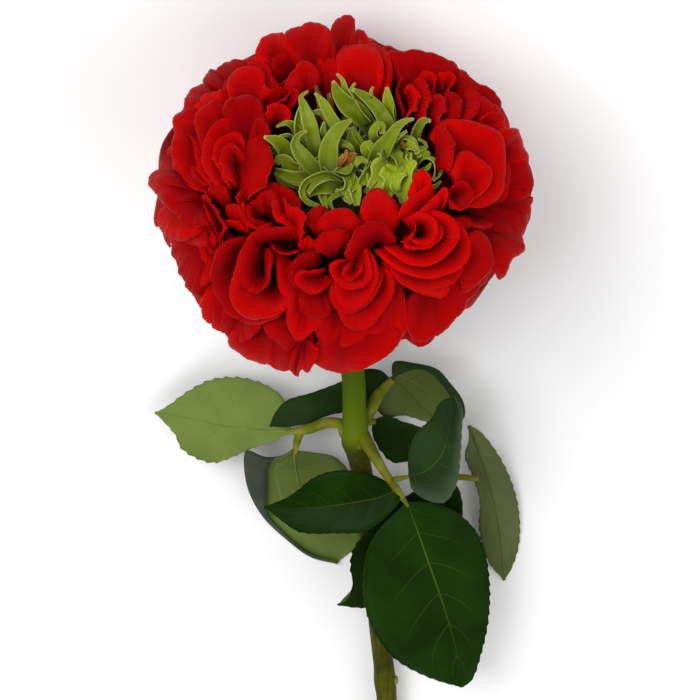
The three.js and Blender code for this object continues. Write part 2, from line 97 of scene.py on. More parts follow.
def evenLine(points, count):
    # the same line with evenly spaced points
    points = np.asarray(points, float)
    travel = np.concatenate([[0], np.cumsum(np.linalg.norm(np.diff(points, axis=0), axis=1))])
    at = np.linspace(0, travel[-1], count)
    return np.stack([np.interp(at, travel, points[:, k]) for k in range(points.shape[1])], -1)


def newShell():
    return {"verts": [], "quads": [], "uv": [], "tone": [], "side": [], "count": 0}


def addSheet(shell, grid, thick, tone, upper=None):
    # closed sheet round a grid of points; thick and tone are one number or one per point
    cols, rows = grid.shape[:2]
    thick = np.broadcast_to(np.asarray(thick, float), (cols, rows))[..., None]
    normal = unit(np.cross(np.gradient(grid, axis=0), np.gradient(grid, axis=1)))
    flip = False
    if upper is not None:
        flip = float((normal.reshape(-1, 3) @ np.asarray(upper, float)).mean()) < 0
    base = shell["count"]
    shell["verts"].append((grid + normal * thick / 2).reshape(-1, 3))
    shell["verts"].append((grid - normal * thick / 2).reshape(-1, 3))
    n = cols * rows
    i, j = np.meshgrid(np.arange(cols - 1), np.arange(rows - 1), indexing="ij")
    a = (i * rows + j).ravel()
    b = ((i + 1) * rows + j).ravel()
    top = np.stack([a, b, b + 1, a + 1], -1)
    under = np.stack([a, a + 1, b + 1, b], -1) + n
    loop = [(k, 0) for k in range(cols)] + [(cols - 1, k) for k in range(1, rows)]
    loop += [(k, rows - 1) for k in range(cols - 2, -1, -1)] + [(0, k) for k in range(rows - 2, -1, -1)]
    edge = np.array([p * rows + q for p, q in loop])
    rim = np.stack([edge[:-1] + n, edge[1:] + n, edge[1:], edge[:-1]], -1)
    shell["quads"].append(np.concatenate([top, under, rim]) + base)
    u, v = np.meshgrid(np.linspace(0, 1, cols), np.linspace(0, 1, rows), indexing="ij")
    uv = np.stack([u.ravel(), v.ravel()], -1)
    shell["uv"] += [uv, uv]
    shell["tone"].append(np.tile(np.broadcast_to(tone, (cols, rows)).ravel(), 2))
    face = np.concatenate([np.ones(n), np.zeros(n)])
    shell["side"].append(1 - face if flip else face)
    shell["count"] += 2 * n


def addLathe(shell, rings):
    # closed body through rings of points, with a middle point at each end
    rings = np.asarray(rings, float)
    rows, sides = rings.shape[:2]
    base = shell["count"]
    verts = np.concatenate([rings.reshape(-1, 3), rings[0].mean(0)[None], rings[-1].mean(0)[None]])
    i, j = np.meshgrid(np.arange(rows - 1), np.arange(sides), indexing="ij")
    k = (j + 1) % sides
    a, b = (i * sides + j).ravel(), (i * sides + k).ravel()
    quads = [np.stack([a, b, b + sides, a + sides], -1)]
    ends = np.arange(sides)
    after = (ends + 1) % sides
    low, high = rows * sides, rows * sides + 1
    quads.append(np.stack([after, ends, np.full(sides, low), np.full(sides, low)], -1))
    last = (rows - 1) * sides
    quads.append(np.stack([ends + last, after + last, np.full(sides, high), np.full(sides, high)], -1))
    shell["verts"].append(verts)
    shell["quads"].append(np.concatenate(quads) + base)
    u = np.concatenate([np.tile(np.abs(2 * np.arange(sides) / sides - 1), rows), [0.5, 0.5]])
    v = np.concatenate([np.repeat(np.linspace(0, 1, rows), sides), [0, 1]])
    shell["uv"].append(np.stack([u, v], -1))
    shell["tone"].append(np.zeros(len(verts)))
    shell["side"].append(np.ones(len(verts)))
    shell["count"] += len(verts)


def addObject(name, data):
    piece = bpy.data.objects.new(name, data)
    bpy.context.scene.collection.objects.link(piece)
    return piece


def makePiece(name, shell, material):
    verts = np.concatenate(shell["verts"]) * mm
    quads = np.concatenate(shell["quads"])
    uv = np.concatenate(shell["uv"])
    faces = [tuple(q) if q[2] != q[3] else tuple(q[:3]) for q in quads.tolist()]
    mesh = bpy.data.meshes.new(name)
    mesh.from_pydata(verts.tolist(), [], faces)
    layer = mesh.uv_layers.new(name="UVMap")
    corner = np.zeros(len(mesh.loops), np.int32)
    mesh.loops.foreach_get("vertex_index", corner)
    layer.data.foreach_set("uv", uv[corner].astype(np.float32).ravel())
    for key in ("tone", "side"):
        values = np.concatenate(shell[key]).astype(np.float32)
        mesh.attributes.new(key, "FLOAT", "POINT").data.foreach_set("value", values)
    mesh.polygons.foreach_set("use_smooth", np.ones(len(mesh.polygons), bool))
    mesh.materials.append(material)
    print("made", name, len(faces), "faces")
    return addObject(name, mesh)


def handOver(pieces, node):
    for piece in pieces:
        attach(piece, "root")
        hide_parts(node)
    print(node, "done")


bloom = {  # a ring with a full, rounded section that leans up from the floor, and the eye in its middle
    "centre": (0.0, -1.5, 46.2), "rise": 22.0,
    "ring": 26.0, "height": -1.0, "across": 19.3, "tall": 26.0, "fullness": 2.4,
    "eyeX": 2.5, "eyeY": -5.0, "eyeDrop": -1.0, "eyeTip": 2.5, "eyeFrom": 20, "eyeSpan": 80,
    "rootDepth": 11.5, "clear": 0.02,
    "waves": [(0.21, 1.1, 0.3), (0.17, 1.2, 1.9), (0.19, 1.1, 4.1)],  # rate per mm, size in mm and start
}


def bloomAxes():
    rise = math.radians(bloom["rise"])
    across = np.array([1.0, 0, 0])
    axis = np.array([0, math.cos(rise), math.sin(rise)])
    return across, np.cross(axis, across), axis


def bloomPoint(local):
    across, away, axis = bloomAxes()
    local = np.asarray(local, float)
    x, y, z = local[..., :1], local[..., 1:2], local[..., 2:]
    return np.array(bloom["centre"]) + x * across + y * away + z * axis


def bloomRing(radius, height, sides, shift=0):
    # ring round the bloom's axis, or round the eye's where shift is 1
    turn = np.linspace(0, fullTurn, sides, endpoint=False)
    x = radius * np.cos(turn) + bloom["eyeX"] * shift
    y = radius * np.sin(turn) + bloom["eyeY"] * shift
    return bloomPoint(np.stack([x, y, np.full(sides, height)], -1))


def wander(local):
    # long waves shift everything in the bloom alike
    out = local.copy()
    for k, (rate, size, start) in enumerate(bloom["waves"]):
        u = local[..., (k + 1) % 3] * rate + start
        w = local[..., (k + 2) % 3] * rate * 0.83 + 2.1 * start
        out[..., k] += size * np.sin(u) * np.cos(w)
    return out


def cushionPoint(azimuth, angle, lift):
    # angle goes round the section: 0 is the outer edge, a quarter turn the top
    u = signedPower(np.cos(angle), 2 / bloom["fullness"])
    v = signedPower(np.sin(angle), 2 / bloom["fullness"])
    out = signedPower(u, bloom["fullness"] - 1) / bloom["across"]
    up = signedPower(v, bloom["fullness"] - 1) / bloom["tall"]
    length = np.hypot(out, up) + 1e-12
    r = bloom["ring"] + bloom["across"] * u + lift * out / length
    h = bloom["height"] + bloom["tall"] * v + lift * up / length
    inner = ease((angle - math.radians(bloom["eyeFrom"])) / math.radians(bloom["eyeSpan"]))
    x = r * np.cos(azimuth) + bloom["eyeX"] * inner
    y = r * np.sin(azimuth) + bloom["eyeY"] * inner
    z = h + inner * (bloom["eyeDrop"] + bloom["eyeTip"] * np.sin(azimuth))
    return bloomPoint(wander(np.stack([x, y, z], -1)))


def cushionRadius(angle):
    return bloom["ring"] + bloom["across"] * signedPower(np.cos(angle), 2 / bloom["fullness"])


view = {  # tilt in degrees, distances in mm, picture in points and zoom in points per mm
    "tilt": 25.0, "away": 600.0, "right": 2.5, "down": 40.0, "picture": 700, "zoom": 4.0,
}


def viewAxes():
    tilt = math.radians(view["tilt"])
    right = np.array([1.0, 0, 0])
    up = np.array([0, math.cos(tilt), -math.sin(tilt)])
    toward = np.array([0, math.sin(tilt), math.cos(tilt)])
    place = np.array(bloom["centre"]) + toward * view["away"] + right * view["right"] - up * view["down"]
    return right, up, toward, place


def shownAt(point):
    # where the picture shows a point
    right, up, toward, place = viewAxes()
    ray = point - place
    scale = view["zoom"] * view["away"] / -(ray @ toward)
    return view["picture"] / 2 + np.stack([scale * (ray @ right), -scale * (ray @ up)], -1)


def seenAt(spots, origin, face, lift):
    # points that the picture shows at these spots, lift mm off the plane through origin
    spots = np.asarray(spots, float)
    right, up, toward, place = viewAxes()
    side, high = spots[..., 0] - view["picture"] / 2, view["picture"] / 2 - spots[..., 1]
    ray = side[..., None] * right + high[..., None] * up - view["zoom"] * view["away"] * toward
    reach = ((np.asarray(origin, float) - place) @ face + lift) / (ray @ face)
    return place + ray * reach[..., None]


def seenPath(points):
    # picture x, y and height over the floor
    points = np.asarray(points, float)
    return seenAt(points[:, :2], (0, 0, 0), np.array([0, 0, 1.0]), points[:, 2])


flat = {  # the bloom's face pressed flat: mm per radian of its section, then how spots on it are found
    "step": 23.0, "reach": 80, "edge": 86, "near": 5.0, "facing": -0.15,
    "slope": 0.3, "rounds": 8, "stride": 2, "damping": 0.05,
}


def flatPoint(spot, lift):
    # from the flattened face to the cushion, lift mm above it
    angle = math.pi / 2 - (np.linalg.norm(spot, axis=-1) - bloom["ring"]) / flat["step"]
    return cushionPoint(np.arctan2(spot[..., 1], spot[..., 0]), angle, lift)


def flatNet(lift):
    # a spot every mm on the flattened face where it looks to the camera, and its point on the cushion
    line = np.arange(-flat["reach"], flat["reach"] + 1.0)
    net = np.stack(np.meshgrid(line, line, indexing="ij"), -1).reshape(-1, 2)
    net = net[np.linalg.norm(net, axis=1) < flat["edge"]]
    point = flatPoint(net, lift)
    front = (flatPoint(net, lift + 1.0) - point) @ viewAxes()[2] > flat["facing"]
    return net[front], point[front]


def flatPlace(shown, lift):
    # spots of the flattened face that the picture shows at these points: nearest of a net, then drawn in
    shown = np.asarray(shown, float)
    net, point = flatNet(lift)
    toward, place = viewAxes()[2:]
    miss = np.linalg.norm(shownAt(point)[None] - shown[:, None], axis=-1)
    depth = np.where(miss < flat["near"], (place - point) @ toward, np.inf)
    spot = net[np.where(np.isfinite(depth.min(1)), depth.argmin(1), miss.argmin(1))]
    best, least = spot, np.full(len(shown), np.inf)
    sides = np.array([(1, 0), (0, 1)]) * flat["slope"]
    for _ in range(flat["rounds"] + 1):
        now = shownAt(flatPoint(spot, lift))
        off = shown - now
        far = np.linalg.norm(off, axis=1)
        best = np.where((far < least)[:, None], spot, best)
        least = np.minimum(far, least)
        slope = np.stack([shownAt(flatPoint(spot + side, lift)) - now for side in sides], -1) / flat["slope"]
        back = np.swapaxes(slope, 1, 2)
        move = np.linalg.solve(back @ slope + flat["damping"] * np.eye(2), back @ off[..., None])[..., 0]
        length = np.linalg.norm(move, axis=1, keepdims=True) + 1e-9
        spot = spot + move * np.minimum(1, flat["stride"] / length)
    return best


def newMaterial(name):
    material = bpy.data.materials.new(name)
    material.use_nodes = True
    return material, material.node_tree, material.node_tree.nodes["Principled BSDF"]


def addNode(tree, kind, **values):
    node = tree.nodes.new(kind)
    for key, value in values.items():
        setattr(node, key, value)
    return node


def feed(tree, socket, value):
    # a socket takes another node's output or a plain value
    if hasattr(value, "links"):
        tree.links.new(value, socket)
    else:
        socket.default_value = value


def mixColours(tree, factor, one, two):
    node = addNode(tree, "ShaderNodeMix", data_type="RGBA")
    for k, value in ((0, factor), (6, one), (7, two)):
        feed(tree, node.inputs[k], value)
    return node.outputs[2]


def mathNode(tree, operation, one, two=0.0):
    node = addNode(tree, "ShaderNodeMath", operation=operation)
    feed(tree, node.inputs[0], one)
    feed(tree, node.inputs[1], two)
    return node.outputs[0]


def weighed(tree, one, share, two, other):
    # share of one value and another share of a second, added up
    one, two = mathNode(tree, "MULTIPLY", one, share), mathNode(tree, "MULTIPLY", two, other)
    return mathNode(tree, "ADD", one, two)


def mapRange(tree, value, low, high, toLow=0.0, toHigh=1.0):
    node = addNode(tree, "ShaderNodeMapRange", interpolation_type="SMOOTHSTEP")
    feed(tree, node.inputs["Value"], value)
    node.inputs["From Min"].default_value = low
    node.inputs["From Max"].default_value = high
    node.inputs["To Min"].default_value = toLow
    node.inputs["To Max"].default_value = toHigh
    return node.outputs["Result"]


def paintOver(tree, colour, mask, band, over):
    # band says where the mask starts and ends, then the strength at both
    return mixColours(tree, mapRange(tree, mask, *band), colour, over)


def tint(colour, factor):
    return tuple(factor * c for c in colour[:3]) + (1,)


def readAttribute(tree, name):
    return addNode(tree, "ShaderNodeAttribute", attribute_name=name).outputs["Fac"]


def objectPlace(tree):
    return addNode(tree, "ShaderNodeTexCoord").outputs["Object"]


def uvParts(tree):
    # across and along a sheet, both from 0 to 1
    split = addNode(tree, "ShaderNodeSeparateXYZ")
    tree.links.new(addNode(tree, "ShaderNodeUVMap", uv_map="UVMap").outputs["UV"], split.inputs[0])
    return split.outputs["X"], split.outputs["Y"]


def fromMiddle(tree, across):
    # 0 on the middle line, 1 at either edge
    doubled = mathNode(tree, "MULTIPLY", across, 2.0)
    return mathNode(tree, "ABSOLUTE", mathNode(tree, "SUBTRACT", doubled, 1.0))


def noiseOf(tree, vector, scale, detail=3.0):
    node = addNode(tree, "ShaderNodeTexNoise")
    feed(tree, node.inputs["Scale"], scale)
    node.inputs["Detail"].default_value = detail
    tree.links.new(vector, node.inputs["Vector"])
    return node.outputs["Fac"]


def addSocket(tree, label, value, kind="Float"):
    socket = tree.interface.new_socket(name=label, in_out="INPUT", socket_type="NodeSocket" + kind)
    socket.default_value = value


def beginGroup(name, inputs, outputs):
    # shader group with these numbers as inputs and masks as outputs
    group = bpy.data.node_groups.new(name, "ShaderNodeTree")
    for label, value in inputs.items():
        addSocket(group, label, value)
    for label in outputs:
        group.interface.new_socket(name=label, in_out="OUTPUT", socket_type="NodeSocketFloat")
    return group, group.nodes.new("NodeGroupInput").outputs, group.nodes.new("NodeGroupOutput").inputs


def blotchGroup():
    # soft blotches and a fine cell grain that every plant surface here shares
    group, given, out = beginGroup(
        "plantGrain", {"Blotch scale": 120.0, "Grain scale": 1800.0}, ("Blotch", "Grain"))
    place = objectPlace(group)
    for key in ("Blotch", "Grain"):
        group.links.new(noiseOf(group, place, given[key + " scale"]), out[key])
    return group


def streakGroup():
    # fine veins that run from root to rim, on the piece's own UV map
    group, given, out = beginGroup("fanStreaks", {"Across": 60.0, "Along": 2.0}, ("Streak",))
    join = group.nodes.new("ShaderNodeCombineXYZ")
    for key, axis, share in zip(("Across", "Along"), "XY", uvParts(group)):
        group.links.new(mathNode(group, "MULTIPLY", share, given[key]), join.inputs[axis])
    group.links.new(noiseOf(group, join.outputs[0], 1.0, 2.0), out["Streak"])
    return group


plantGrain = blotchGroup()
fanStreaks = streakGroup()


def placeGroup(tree, group, values):
    node = addNode(tree, "ShaderNodeGroup", node_tree=group)
    for key, value in values.items():
        node.inputs[key].default_value = value
    return node.outputs


def addBump(tree, shader, height, strength, distance):
    bump = addNode(tree, "ShaderNodeBump")
    bump.inputs["Strength"].default_value = strength
    bump.inputs["Distance"].default_value = distance
    tree.links.new(height, bump.inputs["Height"])
    tree.links.new(bump.outputs["Normal"], shader.inputs["Normal"])


petalLook = {
    "body": (0.21, 0.0, 0.001, 1), "lit": (0.57, 0.001, 0.0, 1), "toneShare": 0.6, "blotchShare": 0.5,
    "streak": (0.22, 0.0, 0.002, 1), "streakBand": (0.35, 0.75, 0.0, 0.22),  # from, to, strength at both
    # fold: painted shade, each face darker where it comes out from under the next inner petal's rim, lighter
    # toward its own rim
    "fold": (0.10, 0.0, 0.001, 1), "foldBand": (0.3, 0.97, 0.85, 0.0),
    # deep: painted shade, the stalk near black where it sinks between the petals
    "deep": (0.02, 0.0, 0.001, 1), "deepBand": (0.12, 0.42, 1.0, 0.0),
    # rim: painted highlight, a thin light line along the petal's edge
    "rim": (0.55, 0.022, 0.02, 1), "rimBand": (0.965, 0.995, 0.0, 0.6),
    "matt": (0.3, 0.7, 0.44, 0.58), "specular": 0.02, "streakBump": 0.8, "grainBump": 0.25,
}


def petalVelvet():
    material, tree, shader = newMaterial("petalVelvet")
    along = uvParts(tree)[1]
    grain = placeGroup(tree, plantGrain, {"Blotch scale": 90.0, "Grain scale": 2500.0})
    streak = placeGroup(tree, fanStreaks, {"Across": 46.0, "Along": 1.6})["Streak"]
    tone = readAttribute(tree, "tone")
    warm = weighed(tree, tone, petalLook["toneShare"], grain["Blotch"], petalLook["blotchShare"])
    colour = mixColours(tree, warm, petalLook["body"], petalLook["lit"])
    # streak is the petals' own veins; fold and deep paint shade in, rim paints a highlight along the edge
    for mask, name in ((streak, "streak"), (along, "fold"), (along, "deep"), (along, "rim")):
        colour = paintOver(tree, colour, mask, petalLook[name + "Band"], petalLook[name])
    tree.links.new(colour, shader.inputs["Base Color"])
    tree.links.new(mapRange(tree, grain["Blotch"], *petalLook["matt"]), shader.inputs["Roughness"])
    shader.inputs["Specular IOR Level"].default_value = petalLook["specular"]
    height = weighed(tree, streak, petalLook["streakBump"], grain["Grain"], petalLook["grainBump"])
    addBump(tree, shader, height, 0.5, 0.00025)
    return material


velvet = petalVelvet()

rims = {  # lift, band and rise in mm, then heart and rim where the picture shows them
    "middle": [
        (3.6, 2, 1.6, [(354, 271), (357, 263)], [(348, 262), (344, 268), (343, 275), (349, 280), (356, 277),
            (362, 270), (364, 261)]),
        (3, 3.6, 2.9, [(353, 272), (357, 258)], [(349, 263), (338, 261), (330, 265), (330, 273), (336, 281),
            (345, 288), (355, 289), (364, 286), (370, 279), (372, 268), (370, 256), (363, 245)]),
        (2, 5, 4, [(353, 272), (357, 258)], [(331, 284), (334, 297), (340, 306), (349, 310), (358, 308),
            (367, 301), (373, 292), (377, 280), (378, 268), (374, 256), (365, 246)]),
        (1.5, 4.5, 3.6, [(353, 272), (357, 258)], [(328, 284), (329, 297), (334, 307), (343, 313),
            (353, 313), (364, 307), (374, 297), (381, 285), (383, 270)]),
        (0.9, 5.5, 4.4, [(356, 285), (372, 270)], [(334, 300), (338, 315), (345, 327), (353, 330),
            (362, 331), (371, 328), (378, 319), (385, 309), (391, 300), (394, 290), (394, 279), (389, 270),
            (384, 274)]),
        (3.8, 5, 4, [(382, 246), (360, 262)], [(397, 240), (393, 233), (386, 225), (375, 222), (362, 226),
            (353, 235), (347, 245), (345, 254), (347, 260), (352, 263)]),
        (2.4, 20, 3.5, [(332, 262)], [(353, 238), (346, 231), (338, 229), (328, 230), (319, 236),
            (314, 244), (312, 252)]),
        (2, 20, 3, [(316, 272)], [(318, 250), (308, 252), (298, 256), (291, 263), (288, 272), (290, 281),
            (296, 287), (304, 292)]),
        (2.8, 3.2, 2.6, [(320, 279), (312, 278)], [(322, 273), (313, 270), (303, 270), (296, 274),
            (295, 281), (300, 287), (308, 292), (315, 294), (323, 291), (330, 284)]),
        (0.8, 5.5, 4.4, [(314, 290)], [(295, 298), (299, 308), (306, 315), (315, 318), (323, 318),
            (330, 315), (332, 306)]),
        (3.4, 20, 3, [(338, 238)], [(314, 230), (320, 219), (330, 212), (341, 209), (351, 211), (358, 219),
            (360, 229)]),
        (2.6, 20, 3, [(320, 238)], [(304, 224), (308, 214), (314, 208), (322, 206), (330, 208)]),
    ],
    "right": [
        (4, 2.8, 2.2, [(417, 224), (416, 234)], [(406, 213), (413, 212), (423, 213), (431, 217), (437, 224),
            (438, 232), (434, 240), (428, 244), (420, 245), (412, 242), (408, 236)]),
        (4.2, 2.4, 1.9, [(416, 232), (404, 236)], [(412, 219), (415, 226), (414, 233), (411, 239),
            (407, 243)]),
        (3, 3, 2.4, [(417, 226), (416, 234)], [(401, 240), (406, 247), (415, 250), (425, 249), (434, 245),
            (441, 238), (443, 229), (440, 220)]),
        (3.2, 4.6, 3.7, [(418, 226), (414, 236)], [(402, 212), (415, 209), (430, 209), (443, 213),
            (453, 219), (458, 228), (459, 237), (454, 246), (447, 254), (438, 261), (427, 266), (416, 266),
            (405, 262), (393, 255), (382, 247)]),
        (1.8, 4.6, 3.7, [(420, 230), (404, 240)], [(458, 214), (465, 226), (469, 238), (470, 248),
            (468, 258), (463, 266), (455, 271), (445, 275), (433, 278), (420, 278), (408, 275), (396, 270),
            (386, 263), (374, 252)]),
        (0.6, 4.6, 3.7, [(424, 236), (410, 244)], [(472, 246), (470, 258), (465, 270), (458, 281),
            (448, 286), (436, 289), (422, 291), (411, 289), (401, 284), (392, 276), (382, 266)]),
        (-0.8, 9, 5, [(430, 240), (420, 252)], [(472, 240), (480, 230), (487, 233), (492, 241), (494, 252),
            (493, 263), (489, 272), (481, 281), (475, 289), (469, 297), (458, 299), (446, 300), (432, 298),
            (418, 294), (408, 289), (398, 283), (390, 274)]),
        (2.8, 20, 4, [(380, 244)], [(358, 216), (361, 206), (366, 196), (372, 190), (380, 190), (389, 196),
            (397, 203), (402, 213)]),
        (4, 20, 3, [(421, 208)], [(409, 196), (411, 184), (415, 175), (422, 171), (428, 175), (431, 184),
            (430, 194)]),
        (4.4, 20, 2.4, [(424, 208), (434, 204)], [(398, 211), (405, 204), (414, 198), (422, 191),
            (430, 185), (437, 187)]),
        (4.6, 20, 2.4, [(432, 214), (440, 208)], [(416, 212), (424, 207), (432, 200), (439, 193),
            (444, 189), (448, 195), (446, 204)]),
    ],
    "left": [
        (3.6, 3.4, 2.7, [(259, 250), (258, 280)], [(270, 236), (262, 231), (253, 232), (247, 240),
            (243, 250), (241, 262), (241, 274), (244, 284), (250, 290), (258, 292), (266, 288), (271, 281),
            (272, 270), (270, 258), (266, 248)]),
        (2.6, 6, 4.8, [(258, 250), (257, 284)], [(246, 236), (240, 250), (236, 268), (232, 281), (230, 292),
            (233, 304), (240, 313), (250, 318), (262, 319), (274, 317), (284, 312), (288, 302)]),
        (1.6, 6, 4.8, [(254, 250), (255, 286)], [(240, 236), (231, 238), (222, 243), (216, 252), (212, 266),
            (211, 280), (214, 291), (221, 304), (231, 315), (243, 322), (257, 325), (270, 323),
            (283, 318)]),
        (4.2, 4.5, 3, [(276, 240), (290, 244)], [(251, 240), (256, 232), (265, 229), (275, 228), (286, 227),
            (296, 226), (302, 230)]),
        (2.8, 2.2, 1.8, [(284, 252)], [(268, 243), (274, 249), (282, 253), (292, 254), (298, 250)]),
        (2, 20, 3, [(304, 258)], [(296, 246), (300, 240), (306, 236), (312, 238), (316, 246)]),
        (0, 20, 3, [(276, 216)], [(250, 190), (256, 185), (264, 182), (274, 182), (284, 185), (293, 190),
            (299, 197), (302, 206), (300, 214)]),
    ],
    "skirt": [
        (1, 20, 6, [(440, 284)], [(484, 280), (474, 290), (470, 300), (464, 310), (455, 320), (446, 331),
            (434, 337), (424, 342), (413, 341), (408, 330), (404, 316)]),
        (0.2, 20, 5, [(400, 276)], [(414, 322), (408, 332), (400, 339), (390, 343), (380, 342),
            (376, 334)]),
        (1, 20, 6, [(236, 300)], [(206, 296), (208, 308), (214, 320), (222, 330), (232, 342), (244, 350),
            (256, 354)]),
        (1.2, 20, 5, [(244, 300)], [(216, 300), (219, 310), (221, 320), (224, 331), (231, 340), (241, 343),
            (250, 340), (257, 333), (262, 324)]),
        (0.8, 20, 5, [(300, 280), (306, 305)], [(272, 250), (274, 262), (276, 275), (278, 288), (283, 297),
            (287, 308), (287, 322), (291, 333), (297, 341), (304, 340), (311, 334), (319, 331),
            (330, 328)]),
        (0.6, 20, 5, [(300, 322)], [(258, 322), (262, 331), (269, 339), (278, 346), (288, 351), (298, 354),
            (308, 352), (316, 345)]),
        (0.4, 20, 5, [(300, 326)], [(252, 334), (258, 340), (266, 346), (276, 352), (286, 357), (297, 360),
            (310, 357), (318, 350)]),
        (0.4, 20, 6, [(348, 308), (366, 306)], [(308, 337), (314, 334), (319, 341), (324, 348), (335, 350),
            (348, 347), (362, 342), (376, 337), (384, 333), (391, 330), (393, 323), (395, 314),
            (396, 304)]),
        (0.2, 12, 6, [(352, 320), (364, 318)], [(316, 346), (324, 352), (334, 355), (345, 357), (358, 357),
            (370, 352), (378, 344), (388, 335), (396, 326)]),
        (0.2, 20, 5, [(208, 246)], [(176, 244), (180, 258), (185, 270), (190, 280), (196, 288), (203, 287),
            (211, 284)]),
        (1.6, 20, 5, [(216, 250)], [(166, 234), (169, 247), (174, 259), (179, 271), (185, 284), (192, 295),
            (199, 304)]),
        (1.4, 20, 5, [(230, 300)], [(198, 290), (200, 303), (202, 315), (209, 324), (218, 331),
            (226, 339)]),
        (3.2, 20, 5, [(276, 326)], [(226, 338), (229, 346), (236, 354), (246, 358), (256, 361), (264, 365),
            (272, 364), (280, 368), (288, 371), (293, 362)]),
        (4.2, 20, 4, [(304, 346)], [(288, 360), (292, 370), (298, 377), (302, 368), (309, 370), (314, 363),
            (320, 355)]),
        (3, 20, 5, [(350, 330), (372, 324)], [(307, 355), (312, 363), (322, 366), (332, 370), (342, 372),
            (354, 370), (366, 366), (378, 360), (390, 354), (402, 345), (409, 337)]),
    ],
    "farLeft": [
        (2.8, 20, 5, [(196, 190)], [(178, 184), (167, 184), (158, 183), (149, 182), (152, 188), (158, 196),
            (163, 206), (169, 216)]),
        (4, 20, 2.5, [(288, 210)], [(278, 194), (273, 202), (272, 210), (275, 218), (282, 224), (290, 228),
            (299, 229)]),
        (4.6, 20, 3, [(288, 224), (294, 236)], [(283, 192), (287, 203), (292, 208), (299, 209), (305, 214),
            (306, 223), (303, 233), (299, 241)]),
        (3, 20, 2.5, [(268, 210)], [(255, 203), (259, 196), (265, 192), (272, 192), (277, 197),
            (279, 206)]),
        (2.6, 2.4, 1.9, [(256, 212)], [(266, 208), (262, 203), (255, 201), (249, 205), (247, 213),
            (251, 221), (258, 224), (266, 221)]),
        (2.2, 4.2, 3.4, [(256, 214)], [(243, 196), (241, 206), (244, 217), (250, 227), (259, 231),
            (268, 228), (274, 222)]),
        (1.6, 20, 3, [(246, 205)], [(250, 190), (243, 189), (238, 193), (236, 200), (241, 208),
            (246, 215)]),
        (2.6, 20, 3, [(212, 210), (220, 228)], [(196, 196), (202, 193), (208, 196), (213, 204), (219, 213),
            (225, 222), (226, 230), (222, 238), (218, 246)]),
        (1.8, 20, 3, [(213, 214), (219, 232)], [(199, 198), (203, 204), (207, 213), (211, 222), (216, 231),
            (219, 240), (219, 250)]),
        (1, 20, 3, [(213, 228), (216, 244)], [(192, 228), (199, 224), (206, 222), (211, 228), (215, 237),
            (217, 248), (218, 256)]),
        (0.2, 20, 3, [(212, 236), (216, 248)], [(203, 228), (205, 238), (207, 247), (211, 254),
            (218, 258)]),
        (-0.6, 20, 4, [(208, 240)], [(194, 238), (197, 246), (200, 256), (204, 264), (211, 270)]),
        (2.4, 20, 3, [(238, 226)], [(222, 212), (227, 206), (234, 204), (240, 207), (245, 213), (249, 222),
            (248, 232)]),
        (1.4, 3.2, 2.6, [(236, 230)], [(220, 222), (226, 220), (236, 220), (243, 224), (247, 233)]),
        (0.8, 20, 3, [(224, 206)], [(204, 191), (210, 185), (218, 183), (226, 186), (230, 194)]),
        (1, 20, 4, [(200, 200)], [(168, 198), (172, 208), (176, 216), (184, 225), (192, 229), (198, 228),
            (203, 224), (208, 219)]),
        (1.8, 20, 4, [(190, 210)], [(160, 204), (157, 214), (158, 226), (166, 235), (176, 240), (186, 241),
            (192, 236), (197, 228)]),
    ],
    "upperLeft": [
        (1.6, 20, 5, [(196, 150)], [(188, 106), (179, 110), (173, 120), (174, 132), (172, 148), (172, 160),
            (174, 176)]),
        (1.2, 20, 5, [(220, 100)], [(204, 75), (193, 83), (188, 94), (184, 105), (180, 116), (180, 128)]),
        (3.8, 2.8, 2.2, [(238, 160), (244, 170)], [(246, 152), (239, 148), (232, 144), (226, 147),
            (222, 153), (220, 161), (222, 170), (227, 178), (234, 182)]),
        (3, 2.8, 2.2, [(236, 158), (240, 170)], [(246, 142), (241, 134), (237, 132), (228, 135), (220, 140),
            (215, 146), (214, 153), (213, 160), (217, 168), (223, 176), (229, 184)]),
        (2.4, 20, 4, [(226, 164)], [(248, 128), (262, 134), (270, 148), (273, 162), (270, 176), (262, 188),
            (248, 194)]),
        (2, 20, 4.4, [(236, 140), (236, 168)], [(240, 122), (232, 116), (220, 119), (212, 126), (206, 137),
            (203, 149), (202, 160), (205, 170), (211, 180), (220, 188)]),
        (1.4, 20, 3.4, [(214, 168), (222, 176)], [(206, 150), (200, 158), (197, 168), (200, 175),
            (206, 180), (215, 182), (224, 182)]),
        (0.6, 20, 3.4, [(212, 172), (220, 178)], [(190, 160), (190, 170), (193, 178), (200, 183),
            (209, 185), (219, 186)]),
        (1, 20, 5, [(226, 140), (226, 160)], [(230, 101), (222, 99), (212, 100), (203, 106), (196, 113),
            (194, 122), (196, 132), (199, 144), (201, 158)]),
        (-0.2, 20, 5, [(210, 160)], [(183, 122), (178, 136), (175, 150), (172, 164), (171, 178), (176, 186),
            (183, 190), (191, 189), (200, 187)]),
        (0.2, 20, 4, [(222, 124)], [(236, 91), (226, 89), (216, 90), (207, 93), (199, 98), (193, 106),
            (189, 116)]),
        (0.4, 20, 3.4, [(212, 150)], [(182, 132), (186, 133), (190, 138), (193, 146), (194, 156),
            (193, 166)]),
        (2.6, 20, 4, [(248, 142)], [(269, 121), (264, 110), (260, 102), (254, 97), (246, 96), (234, 98),
            (227, 101), (223, 108), (224, 117)]),
        (3.2, 20, 3, [(258, 150)], [(247, 130), (252, 126), (257, 120), (262, 119), (267, 124), (270, 132),
            (270, 142)]),
    ],
    "top": [
        (2, 20, 4, [(240, 90)], [(196, 80), (206, 74), (218, 70), (226, 63), (236, 59), (249, 58)]),
        (2, 20, 4, [(250, 108)], [(228, 98), (227, 88), (229, 78), (235, 71), (243, 68), (253, 67),
            (261, 69), (265, 75), (265, 83), (269, 89), (277, 87), (286, 83), (292, 85)]),
